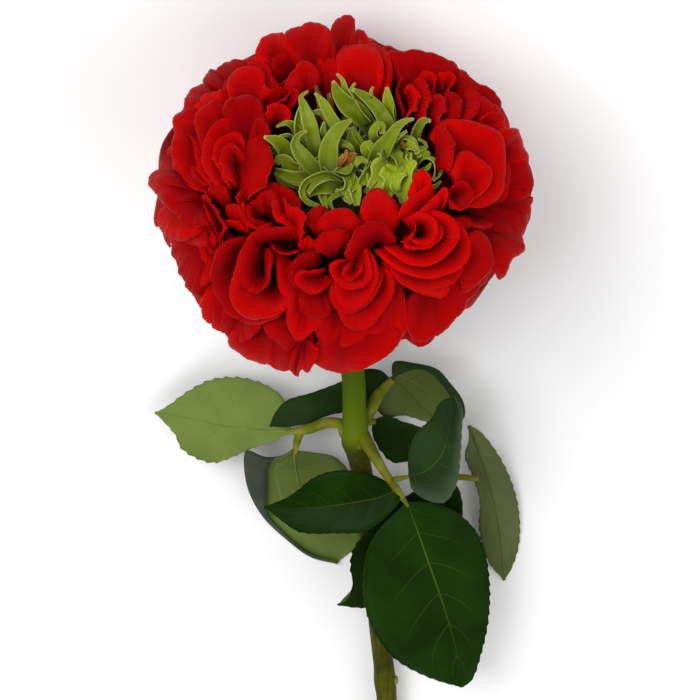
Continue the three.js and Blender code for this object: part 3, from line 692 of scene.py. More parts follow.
        (0.6, 20, 5, [(252, 96)], [(220, 88), (223, 76), (229, 65), (238, 60), (248, 58), (258, 58),
            (266, 61), (271, 67), (273, 76), (281, 83), (287, 79), (291, 71), (298, 69)]),
        (1.6, 4.5, 3.6, [(284, 72), (292, 66)], [(270, 66), (273, 58), (281, 54), (290, 52), (298, 54),
            (303, 60)]),
        (3, 20, 4, [(308, 96)], [(286, 84), (290, 75), (295, 68), (300, 63), (307, 62), (314, 66),
            (320, 74), (324, 82)]),
        (3.4, 20, 4, [(316, 74)], [(282, 48), (284, 36), (290, 30), (300, 27), (310, 24), (320, 25),
            (328, 29), (332, 40), (330, 54)]),
        (2.4, 20, 4, [(282, 66)], [(252, 60), (257, 48), (262, 40), (270, 35), (279, 33), (286, 36),
            (292, 42)]),
        (2.4, 3, 2.4, [(284, 96)], [(276, 98), (285, 100), (290, 96), (293, 89), (299, 91), (298, 99),
            (295, 108)]),
        (3.2, 3.4, 2.7, [(280, 118)], [(264, 115), (267, 108), (274, 104), (282, 105), (288, 109),
            (291, 115), (290, 122)]),
        (2.6, 20, 5, [(361, 104)], [(336, 78), (337, 66), (337, 56), (342, 49), (352, 46), (365, 45),
            (376, 49), (382, 59), (384, 72), (382, 84), (376, 95)]),
        (1.4, 20, 5, [(362, 96)], [(335, 60), (335, 50), (339, 42), (350, 41), (362, 39), (374, 43),
            (384, 49), (391, 60), (393, 73), (391, 86), (385, 98)]),
        (3.4, 20, 5, [(346, 66)], [(330, 54), (330, 40), (332, 27), (337, 20), (345, 17), (352, 19),
            (355, 28), (358, 42)]),
        (2, 20, 4, [(362, 70)], [(352, 42), (355, 32), (360, 29), (366, 35), (372, 42), (380, 47),
            (386, 52)]),
        (1.4, 20, 4, [(328, 98)], [(312, 66), (318, 57), (326, 54), (334, 58), (339, 68), (340, 80)]),
    ],
    "upperRight": [
        (0.8, 20, 4, [(470, 130)], [(470, 96), (482, 96), (492, 102), (500, 110), (504, 120), (504, 130)]),
        (3.4, 2.4, 1.9, [(396, 100), (402, 112)], [(410, 72), (403, 78), (398, 86), (399, 96), (403, 105),
            (401, 114)]),
        (4, 20, 3, [(406, 98), (406, 108)], [(402, 84), (409, 84), (415, 89), (420, 96), (419, 104),
            (415, 111), (409, 117), (402, 120)]),
        (3.2, 20, 3.4, [(410, 98), (410, 108)], [(412, 74), (422, 79), (428, 87), (431, 97), (430, 106),
            (425, 114), (417, 119)]),
        (2.6, 20, 3.4, [(424, 108)], [(428, 92), (436, 94), (442, 96), (446, 101), (446, 109), (442, 116),
            (436, 121)]),
        (1.8, 20, 3.4, [(436, 106)], [(444, 88), (451, 91), (458, 95), (462, 102), (462, 109), (458, 115),
            (452, 120)]),
        (0.8, 20, 3.4, [(450, 106)], [(466, 82), (474, 87), (480, 96), (480, 106), (476, 114), (470, 120),
            (462, 123)]),
        (1.4, 20, 3.4, [(484, 122)], [(476, 124), (482, 117), (488, 113), (496, 112), (503, 117),
            (506, 125), (503, 133)]),
        (1.6, 3, 2.4, [(432, 88)], [(416, 72), (425, 70), (434, 74), (437, 81), (434, 88), (428, 92)]),
        (1, 3.4, 2.7, [(444, 90)], [(430, 70), (442, 72), (452, 72), (456, 78), (452, 86), (446, 92)]),
        (1.4, 20, 5, [(420, 92)], [(386, 66), (384, 55), (390, 50), (402, 51), (412, 50), (422, 50),
            (434, 54), (446, 58), (456, 63), (463, 73)]),
        (1.5, 20, 5, [(458, 104)], [(452, 60), (462, 69), (474, 80), (484, 86), (494, 92), (502, 101),
            (507, 112)]),
    ],
    "farRight": [
        (2.6, 20, 4, [(498, 160)], [(498, 126), (509, 128), (519, 134), (524, 146), (527, 158),
            (524, 172)]),
        (1.6, 20, 6, [(484, 205)], [(516, 180), (522, 192), (524, 206), (523, 220), (519, 234), (511, 246),
            (502, 256)]),
        (3.2, 20, 5, [(484, 234)], [(529, 226), (526, 244), (519, 254), (510, 260), (505, 274), (499, 278),
            (493, 272), (486, 269)]),
        (2.4, 14, 5, [(458, 160), (462, 176)], [(424, 130), (433, 122), (445, 118), (460, 119), (475, 122),
            (489, 127), (499, 132), (504, 142), (505, 156), (505, 172), (503, 188), (498, 199), (489, 205),
            (480, 207), (470, 204)]),
        (4, 20, 3.5, [(434, 156)], [(432, 128), (440, 125), (447, 130), (452, 139), (455, 149), (454, 158),
            (449, 165)]),
        (3.4, 20, 4, [(464, 184)], [(450, 166), (455, 158), (462, 152), (469, 152), (477, 158), (485, 164),
            (491, 171), (490, 181), (485, 190), (478, 197), (470, 200)]),
        (4.2, 5, 4, [(454, 196), (460, 190)], [(452, 184), (460, 180), (466, 183), (471, 191), (472, 198),
            (467, 206), (460, 212), (453, 209), (448, 201), (447, 192)]),
        (0.6, 20, 4, [(480, 215)], [(460, 216), (466, 226), (476, 229), (486, 229), (494, 226),
            (500, 222)]),
        (0.6, 20, 6, [(478, 200)], [(500, 140), (509, 150), (511, 164), (510, 180), (510, 194), (513, 206),
            (516, 218), (516, 230), (512, 242), (504, 252)]),
        (3, 20, 7, [(490, 200)], [(516, 140), (522, 146), (527, 158), (531, 172), (530, 190), (532, 206),
            (531, 222), (527, 238), (518, 250)]),
        (2.8, 20, 5, [(462, 262)], [(470, 240), (477, 231), (485, 236), (491, 247), (493, 260), (488, 272),
            (480, 281), (472, 291), (465, 299)]),
        (1.6, 20, 4, [(466, 268)], [(489, 258), (492, 268), (488, 277), (480, 287), (473, 297),
            (467, 305)]),
        (3.4, 20, 4, [(506, 206)], [(519, 188), (526, 194), (530, 202), (530, 211), (526, 219)]),
    ],
}

rimPetal = {  # sizes in mm, shares from 0 to 1
    "seat": 0.8, "heartDrop": 1.0, "perSpan": 8, "stalkShare": 0.3, "stalkBend": 0.8, "bandShare": 0.92,
    "fall": 1.6, "endDrop": 3.0, "lip": 0.08, "lipDrop": 0.35, "ruffle": 0.3, "crimp": 0.1, "sway": 0.26,
    "gather": 0.4, "thick": 0.5, "thin": 0.26, "cols": 44, "rows": 13,
    # tone added to every petal of a group: the right group is painted lighter, standing in for more light
    # falling on it; the middle one is a little darker
    "paler": {"right": 0.8, "middle": -0.2},
}


def addPetal(shell, grid, thick, thin, tone):
    # gets thinner toward its rim and stays just over the floor
    wall = np.broadcast_to(np.linspace(thick, thin, grid.shape[1])[None, :], grid.shape[:2])
    grid[..., 2] = np.maximum(grid[..., 2], wall / 2 + bloom["clear"])
    addSheet(shell, grid, wall, tone)


def addRimPetal(shell, paler, lift, band, rise, heart, rim):
    # the rim follows its own line; the face falls from it toward the heart and the stalk goes on down
    cols, rows, split, lip = (rimPetal[key] for key in ("cols", "rows", "stalkShare", "lip"))
    seat = rimPetal["seat"] * lift
    line = evenLine(smoothLine(flatPlace(rim, seat), rimPetal["perSpan"]), cols + 1)
    ends = flatPlace(heart, seat - rimPetal["heartDrop"])
    start, stop = ends[0], ends[-1]
    slit = stop - start
    along = np.clip((line - start) @ slit / max(float(slit @ slit), 1e-6), 0, 1)
    toward = start + along[:, None] * slit - line
    reach = np.linalg.norm(toward, axis=1, keepdims=True)
    toward = toward / reach
    width = np.minimum(band, rimPetal["bandShare"] * reach)
    t = np.linspace(-1, 1, cols + 1)[:, None]
    v = np.linspace(0, 1, rows + 1)[None, :]
    stalk = np.clip(v / split, 0, 1)
    face = 1 - np.clip((v - split) / (1 - split), 0, 1)
    phase, waves = anyPhase(), chance(3, 6)
    wave = np.sin(waves * 2.2 * t + phase) + 0.5 * np.sin(waves * 5.1 * t + 2 * phase)
    edge = (1 - face) ** 3
    inward = width * face + (reach - width) * rimPetal["gather"] * (1 - stalk)
    inward = inward + rimPetal["sway"] * edge * wave
    height = lift - rise * np.clip((face - lip) / (1 - lip), 0, 1) ** rimPetal["fall"]
    height = height - rimPetal["lipDrop"] * np.clip(1 - face / lip, 0, 1) ** 2
    height = height - rimPetal["endDrop"] * t ** 6
    height = height + rimPetal["ruffle"] * edge * wave
    height = height + rimPetal["crimp"] * edge ** 2 * np.sin(waves * 21 * t + phase)
    height = (height + bloom["rootDepth"]) * stalk ** rimPetal["stalkBend"] - bloom["rootDepth"]
    grid = flatPoint(line[:, None, :] + toward[:, None, :] * inward[..., None], height)
    addPetal(shell, grid, rimPetal["thick"], rimPetal["thin"], rng.random() + paler)


def rimPetals(region):
    shell = newShell()
    for petal in rims[region]:
        addRimPetal(shell, rimPetal["paler"].get(region, 0), *petal)
    return makePiece("petals_" + region, shell, velvet)


skirt = {  # rows of plain petals under and behind the traced ones
    "petals": [  # how many, first and last azimuth, angle, half width, reach, flare, lift
        (8, -28, 202, 56, 19, 12, 10, -3.6), (5, 14, 166, 38, 19, 14, 11, -3.0),
        (5, 10, 168, 26, 19, 16, 12, -3.0), (4, 18, 146, 13, 19, 15, 12, -2.8),
        (6, 203, 325, 18, 19, 12, 9, -5.5), (3, -30, 6, 15, 19, 14, 11, -6.0),
        (3, 172, 196, 15, 19, 14, 11, -6.8), (7, 26, 156, 74, 15, 8, 9, -5.4),
    ],
    "cols": 40, "rows": 16, "leanSteps": 20, "stalkShare": 0.3, "thick": 0.55, "thin": 0.3,
    "inward": 10, "sweep": 64, "drop": 2.0, "crease": 4.5, "fold": 84, "lip": 3.0, "arm": 0.6,
    "gather": 0.2, "ruffle": 0.9, "crimp": 0.12, "meander": 0.02, "pointWidth": 0.13, "leastRadius": 12,
}


def skirtGrid(petal):
    # rim follows a U in the cushion's surface, the stalk rises from the heart, the top folds outward
    phase, waves, split, fold = petal["phase"], petal["waves"], skirt["stalkShare"], skirt["fold"]
    t = np.linspace(-1, 1, skirt["cols"] + 1)[:, None]
    v = np.linspace(0, 1, skirt["rows"] + 1)[None, :]
    alpha = np.radians(petal["skew"] + skirt["sweep"] * t)
    reach = np.where(np.cos(alpha) > 0, petal["out"], skirt["inward"])
    wobble = 1 + skirt["meander"] * np.sin(2.3 * alpha + 1.3 * phase)
    wobble = wobble + 0.5 * skirt["meander"] * np.sin(5.1 * alpha + phase)
    nx, ny = np.sin(alpha) / petal["half"], np.cos(alpha) / reach
    size = np.hypot(nx, ny)
    weight = skirt["arm"] + (1 - skirt["arm"]) * np.cos(alpha / 2) ** 2
    flare = petal["flare"] * weight * (1 - 0.3 * t ** 4) * (1 + 0.12 * np.sin(waves * 1.7 * alpha + phase))
    flare = flare + petal["point"] * np.exp(-((t - petal["pointAt"]) / skirt["pointWidth"]) ** 2)
    top = petal["top"] - skirt["drop"] * np.abs(t) ** 4
    top = top + 0.5 * skirt["ruffle"] * np.sin(waves * alpha + phase)
    stalk = np.clip(v / split, 0, 1)
    share = np.clip((v - split) / (1 - split), 0, 1)
    length = share * flare
    lift = -bloom["rootDepth"] + (top + bloom["rootDepth"]) * stalk
    away = np.zeros_like(lift)
    for k in range(skirt["leanSteps"]):
        q = length * (k + 0.5) / skirt["leanSteps"]
        lean = fold * ease(q / skirt["crease"])
        lean = lean + (petal["roll"] - fold) * ease((q - flare + skirt["lip"]) / skirt["lip"])
        lean = np.radians(lean) * np.sqrt(weight)
        away = away + np.sin(lean) * length / skirt["leanSteps"]
        lift = lift + np.cos(lean) * length / skirt["leanSteps"]
    lift = lift + skirt["ruffle"] * share ** 2 * np.sin(waves * 2.3 * alpha + 1.7 * phase)
    lift = lift + skirt["crimp"] * share ** 4 * np.sin(waves * 9 * alpha + phase)
    gather = 1 - skirt["gather"] * (1 - stalk)
    across = petal["half"] * np.sin(alpha) * wobble * gather + away * nx / size
    outward = reach * np.cos(alpha) * wobble * gather + away * ny / size
    angle = math.radians(petal["angle"]) - outward / flat["step"]
    azimuth = math.radians(petal["azimuth"]) + across / np.maximum(cushionRadius(angle), skirt["leastRadius"])
    return cushionPoint(azimuth, angle, lift)


def skirtPetals():
    shell = newShell()
    for count, first, last, angle, half, out, flare, top in skirt["petals"]:
        for i in range(count):
            grid = skirtGrid({
                "azimuth": first + (last - first) * i / (count - 1) + chance(-4, 4), "skew": chance(-4, 4),
                "angle": angle, "half": half, "out": out, "top": top, "flare": flare + chance(0, 2),
                "roll": chance(104, 118), "point": chance(0, 2), "pointAt": chance(-0.3, 0.3),
                "waves": chance(3, 5), "phase": anyPhase(),
            })
            addPetal(shell, grid, skirt["thick"], skirt["thin"], rng.random())
    return makePiece("skirt_petals", shell, velvet)


back = {  # profile as distance from the bloom's axis and height along it
    "profile": [(7.4, -27.3), (13, -27.75), (22, -27.4), (30, -25), (37, -19.5), (41, -13), (42, -9)],
    "count": 5, "start": -0.38, "span": 1.28, "step": 1.4, "wave": 0.8, "thick": 0.5, "clear": 0.3,
    "cols": 25, "rows": 17,
}


def backPetals():
    # broad petals on the back of the bloom, each standing over the next, all the way to the hip
    shell = newShell()
    profile = np.array(back["profile"], float)
    along = np.linspace(0, len(profile) - 1, back["rows"])
    r, h = (np.interp(along, np.arange(len(profile)), profile[:, k]) for k in range(2))
    t = np.linspace(0, 1, back["cols"])[:, None]
    for i in range(back["count"]):
        turn = fullTurn * (i + back["start"] + back["span"] * t) / back["count"]
        stand = back["step"] * (t - 0.62) * np.clip(along / 2, 0.1, 1)
        wavy = back["wave"] * np.maximum(along - 5, 0) * np.sin(7 * t * math.pi + i)
        reach = r + stand + wavy * 0.4
        grid = bloomPoint(np.stack([reach * np.cos(turn), reach * np.sin(turn), h - stand + wavy], -1))
        grid[..., 2] = np.maximum(grid[..., 2], back["clear"])
        addSheet(shell, grid, back["thick"], rng.random())
    return makePiece("back_petals", shell, velvet)


core = {  # dark heart between the petals, painted shade where it shows in the gaps: rings at the back, then degrees round the cushion's section
    "back": [(7.4, -27.0), (18, -26.6), (30, -23.6), (37, -18.5), (41, -12), (36.5, -13)],
    "angles": (-15, 0, 15, 30, 45, 55, 65, 75, 85, 95, 105, 115, 130, 140, 150), "end": (12.6, -10),
    "sides": 72, "depth": 3.8, "eyeDepth": 4.9, "eyeFrom": 85, "sideDepth": 4.2, "sideTo": 55, "blend": 30,
    "dark": (0.015, 0.0, 0.001, 1), "light": (0.05, 0.0, 0.002, 1), "roughness": 0.9,
}


def heartShade():
    material, tree, shader = newMaterial("petalShade")
    grain = placeGroup(tree, plantGrain, {"Blotch scale": 140.0, "Grain scale": 2500.0})
    colour = mixColours(tree, grain["Blotch"], core["dark"], core["light"])
    tree.links.new(colour, shader.inputs["Base Color"])
    shader.inputs["Roughness"].default_value = core["roughness"]
    shader.inputs["Specular IOR Level"].default_value = 0.0
    addBump(tree, shader, grain["Grain"], 0.4, 0.0003)
    return material


def petalHeart():
    # closes the bloom behind the petals, out of sight between them; where it shows in the gaps its dark
    # colour is painted shade
    sides = core["sides"]
    turn = np.linspace(0, fullTurn, sides, endpoint=False)
    rings = [bloomRing(r, h, sides) for r, h in core["back"]]
    for angle in core["angles"]:
        depth = core["depth"] + core["eyeDepth"] * ease((angle - core["eyeFrom"]) / core["blend"])
        depth = depth + core["sideDepth"] * ease((core["sideTo"] - angle) / core["blend"])
        rings.append(cushionPoint(turn, np.full(sides, math.radians(angle)), -depth))
    rings.append(bloomRing(*core["end"], sides, 1))
    shell = newShell()
    addLathe(shell, rings)
    return makePiece("petal_heart", shell, heartShade())


petals = [rimPetals(region) for region in rims] + [skirtPetals(), backPetals(), petalHeart()]
handOver(petals, "petals")


def linkAll(tree, *pairs):
    for source, target in pairs:
        tree.links.new(source, target)


def beginTree(name, *inputs):
    # tree that takes a mesh and these inputs, each given as name, value and kind
    tree = bpy.data.node_groups.new(name, "GeometryNodeTree")
    for way in ("INPUT", "OUTPUT"):
        tree.interface.new_socket(name="Geometry", in_out=way, socket_type="NodeSocketGeometry")
    for label, value, kind in inputs:
        addSocket(tree, label, value, kind)
    return tree, tree.nodes.new("NodeGroupInput").outputs, tree.nodes.new("NodeGroupOutput").inputs


def endTree(tree, geometry, out, material):
    # every tree ends in real geometry with its material set
    smooth = addNode(tree, "GeometryNodeSetShadeSmooth")
    real = addNode(tree, "GeometryNodeRealizeInstances")
    paint = addNode(tree, "GeometryNodeSetMaterial")
    linkAll(
        tree, (geometry, smooth.inputs["Geometry"]), (smooth.outputs[0], real.inputs[0]),
        (real.outputs[0], paint.inputs["Geometry"]), (material, paint.inputs["Material"]),
        (paint.outputs[0], out["Geometry"]))


def tubeTree():
    # round bars along the edges of a line mesh, as thick as its thickness attribute says
    tree, given, out = beginTree(
        "greenTubes", ("Sides", 16, "Int"), ("Thickness scale", 1.0, "Float"), ("Material", None, "Material"))
    curve = addNode(tree, "GeometryNodeMeshToCurve")
    circle = addNode(tree, "GeometryNodeCurvePrimitiveCircle")
    radius = addNode(tree, "GeometryNodeInputNamedAttribute")
    mesh = addNode(tree, "GeometryNodeCurveToMesh")
    radius.inputs["Name"].default_value = "thickness"
    circle.inputs["Radius"].default_value = 1.0
    mesh.inputs["Fill Caps"].default_value = True
    scale = mathNode(tree, "MULTIPLY", radius.outputs["Attribute"], given["Thickness scale"])
    linkAll(
        tree, (given["Geometry"], curve.inputs["Mesh"]), (given["Sides"], circle.inputs["Resolution"]),
        (curve.outputs[0], mesh.inputs["Curve"]), (circle.outputs[0], mesh.inputs["Profile Curve"]),
        (scale, mesh.inputs["Scale"]))
    endTree(tree, mesh.outputs[0], out, given["Material"])
    return tree


def scatterTree():
    # small tapering hairs or stamens that stand on a surface
    tree, given, out = beginTree(
        "standingHairs", ("Density", 1000.0, "Float"), ("Seed", 3, "Int"), ("Length", 0.001, "Float"),
        ("Foot radius", 0.0001, "Float"), ("Head radius", 0.00005, "Float"), ("Tilt", 0.5, "Float"),
        ("Material", None, "Material"))
    points = addNode(tree, "GeometryNodeDistributePointsOnFaces")
    hair = addNode(tree, "GeometryNodeMeshCone")
    head = addNode(tree, "GeometryNodeMeshIcoSphere")
    headUp = addNode(tree, "GeometryNodeTransform")
    both = addNode(tree, "GeometryNodeJoinGeometry")
    place = addNode(tree, "GeometryNodeInstanceOnPoints")
    tilt = addNode(tree, "FunctionNodeRandomValue", data_type="FLOAT_VECTOR")
    size = addNode(tree, "FunctionNodeRandomValue")
    turn = addNode(tree, "FunctionNodeRotateEuler", rotation_type="EULER", space="LOCAL")
    lift = addNode(tree, "ShaderNodeCombineXYZ")
    hair.inputs["Vertices"].default_value = 5
    head.inputs["Subdivisions"].default_value = 1
    size.inputs["Min"].default_value = 0.6
    size.inputs["Max"].default_value = 1.2
    for way, side in ((-1, "Min"), (1, "Max")):
        lean = addNode(tree, "ShaderNodeVectorMath", operation="SCALE")
        lean.inputs[0].default_value = (way, way, 0)
        linkAll(tree, (given["Tilt"], lean.inputs["Scale"]), (lean.outputs[0], tilt.inputs[side]))
    headSize = mathNode(tree, "MULTIPLY", given["Head radius"], 1.7)
    linkAll(
        tree, (given["Geometry"], points.inputs["Mesh"]), (given["Density"], points.inputs["Density"]),
        (given["Seed"], points.inputs["Seed"]), (given["Length"], hair.inputs["Depth"]),
        (given["Foot radius"], hair.inputs["Radius Bottom"]),
        (given["Head radius"], hair.inputs["Radius Top"]), (headSize, head.inputs["Radius"]),
        (given["Length"], lift.inputs["Z"]),
        (head.outputs["Mesh"], headUp.inputs["Geometry"]), (lift.outputs[0], headUp.inputs["Translation"]),
        (hair.outputs["Mesh"], both.inputs[0]), (headUp.outputs[0], both.inputs[0]),
        (given["Seed"], tilt.inputs["Seed"]), (points.outputs["Rotation"], turn.inputs["Rotation"]),
        (tilt.outputs[0], turn.inputs["Rotate By"]), (points.outputs["Points"], place.inputs["Points"]),
        (both.outputs[0], place.inputs["Instance"]), (turn.outputs[0], place.inputs["Rotation"]),
        (size.outputs["Value"], place.inputs["Scale"]))
    endTree(tree, place.outputs[0], out, given["Material"])
    return tree


def growMesh(piece, tree, values):
    # runs a tree on a piece and keeps the result as its plain mesh
    modifier = piece.modifiers.new(tree.name, "NODES")
    modifier.node_group = tree
    for item in tree.interface.items_tree:
        if item.item_type == "SOCKET" and item.in_out == "INPUT" and item.name in values:
            modifier[item.identifier] = values[item.name]
    bpy.context.view_layer.update()
    done = piece.evaluated_get(bpy.context.evaluated_depsgraph_get())
    mesh = bpy.data.meshes.new_from_object(done)
    piece.modifiers.remove(modifier)
    piece.data = mesh
    mesh.name = piece.name
    print("grown", piece.name, len(mesh.polygons), "faces")
    return piece


tubes = tubeTree()
hairs = scatterTree()


def growHairs(name, body, material, values):
    # hairs or grains all over a copy of the piece, which they replace
    return growMesh(addObject(name, body.data.copy()), hairs, {**values, "Material": material})


def lineObject(name, lines):
    # one mesh of open lines, each a list of points with a thickness at every point
    verts, edges, widths = [], [], []
    for points, radii in lines:
        base = len(verts)
        verts += (np.asarray(points) * mm).tolist()
        widths += (np.broadcast_to(radii, len(points)) * mm).tolist()
        edges += [(base + k, base + k + 1) for k in range(len(points) - 1)]
    mesh = bpy.data.meshes.new(name)
    mesh.from_pydata(verts, edges, [])
    mesh.attributes.new("thickness", "FLOAT", "POINT").data.foreach_set("value", np.array(widths, np.float32))
    return addObject(name, mesh)


def greenSkin(name, dark, light, roughness=0.5, stretch=None, bands=()):
    # stretch lays fibres along the piece; a band has two y in m, its strength at both, and a colour
    material, tree, shader = newMaterial(name)
    grain = placeGroup(tree, plantGrain, {"Blotch scale": 160.0, "Grain scale": 2200.0})
    place = objectPlace(tree)
    colour = mixColours(tree, mapRange(tree, grain["Blotch"], 0.3, 0.7), dark, light)
    height = grain["Grain"]
    if stretch:
        pull = addNode(tree, "ShaderNodeMapping")
        pull.inputs["Scale"].default_value = stretch
        tree.links.new(place, pull.inputs["Vector"])
        fibre = noiseOf(tree, pull.outputs[0], 1.0)
        colour = paintOver(tree, colour, fibre, (0.4, 0.7, 0.0, 0.5), tint(dark, 0.6))
        height = mathNode(tree, "ADD", height, fibre)
    if bands:
        split = addNode(tree, "ShaderNodeSeparateXYZ")
        tree.links.new(place, split.inputs[0])
    for band, over in bands:
        colour = paintOver(tree, colour, split.outputs["Y"], band, over)
    tree.links.new(colour, shader.inputs["Base Color"])
    matt = mapRange(tree, grain["Grain"], 0.3, 0.7, roughness - 0.05, roughness + 0.07)
    tree.links.new(matt, shader.inputs["Roughness"])
    shader.inputs["Specular IOR Level"].default_value = 0.04
    addBump(tree, shader, height, 0.35, 0.0002)
    return material


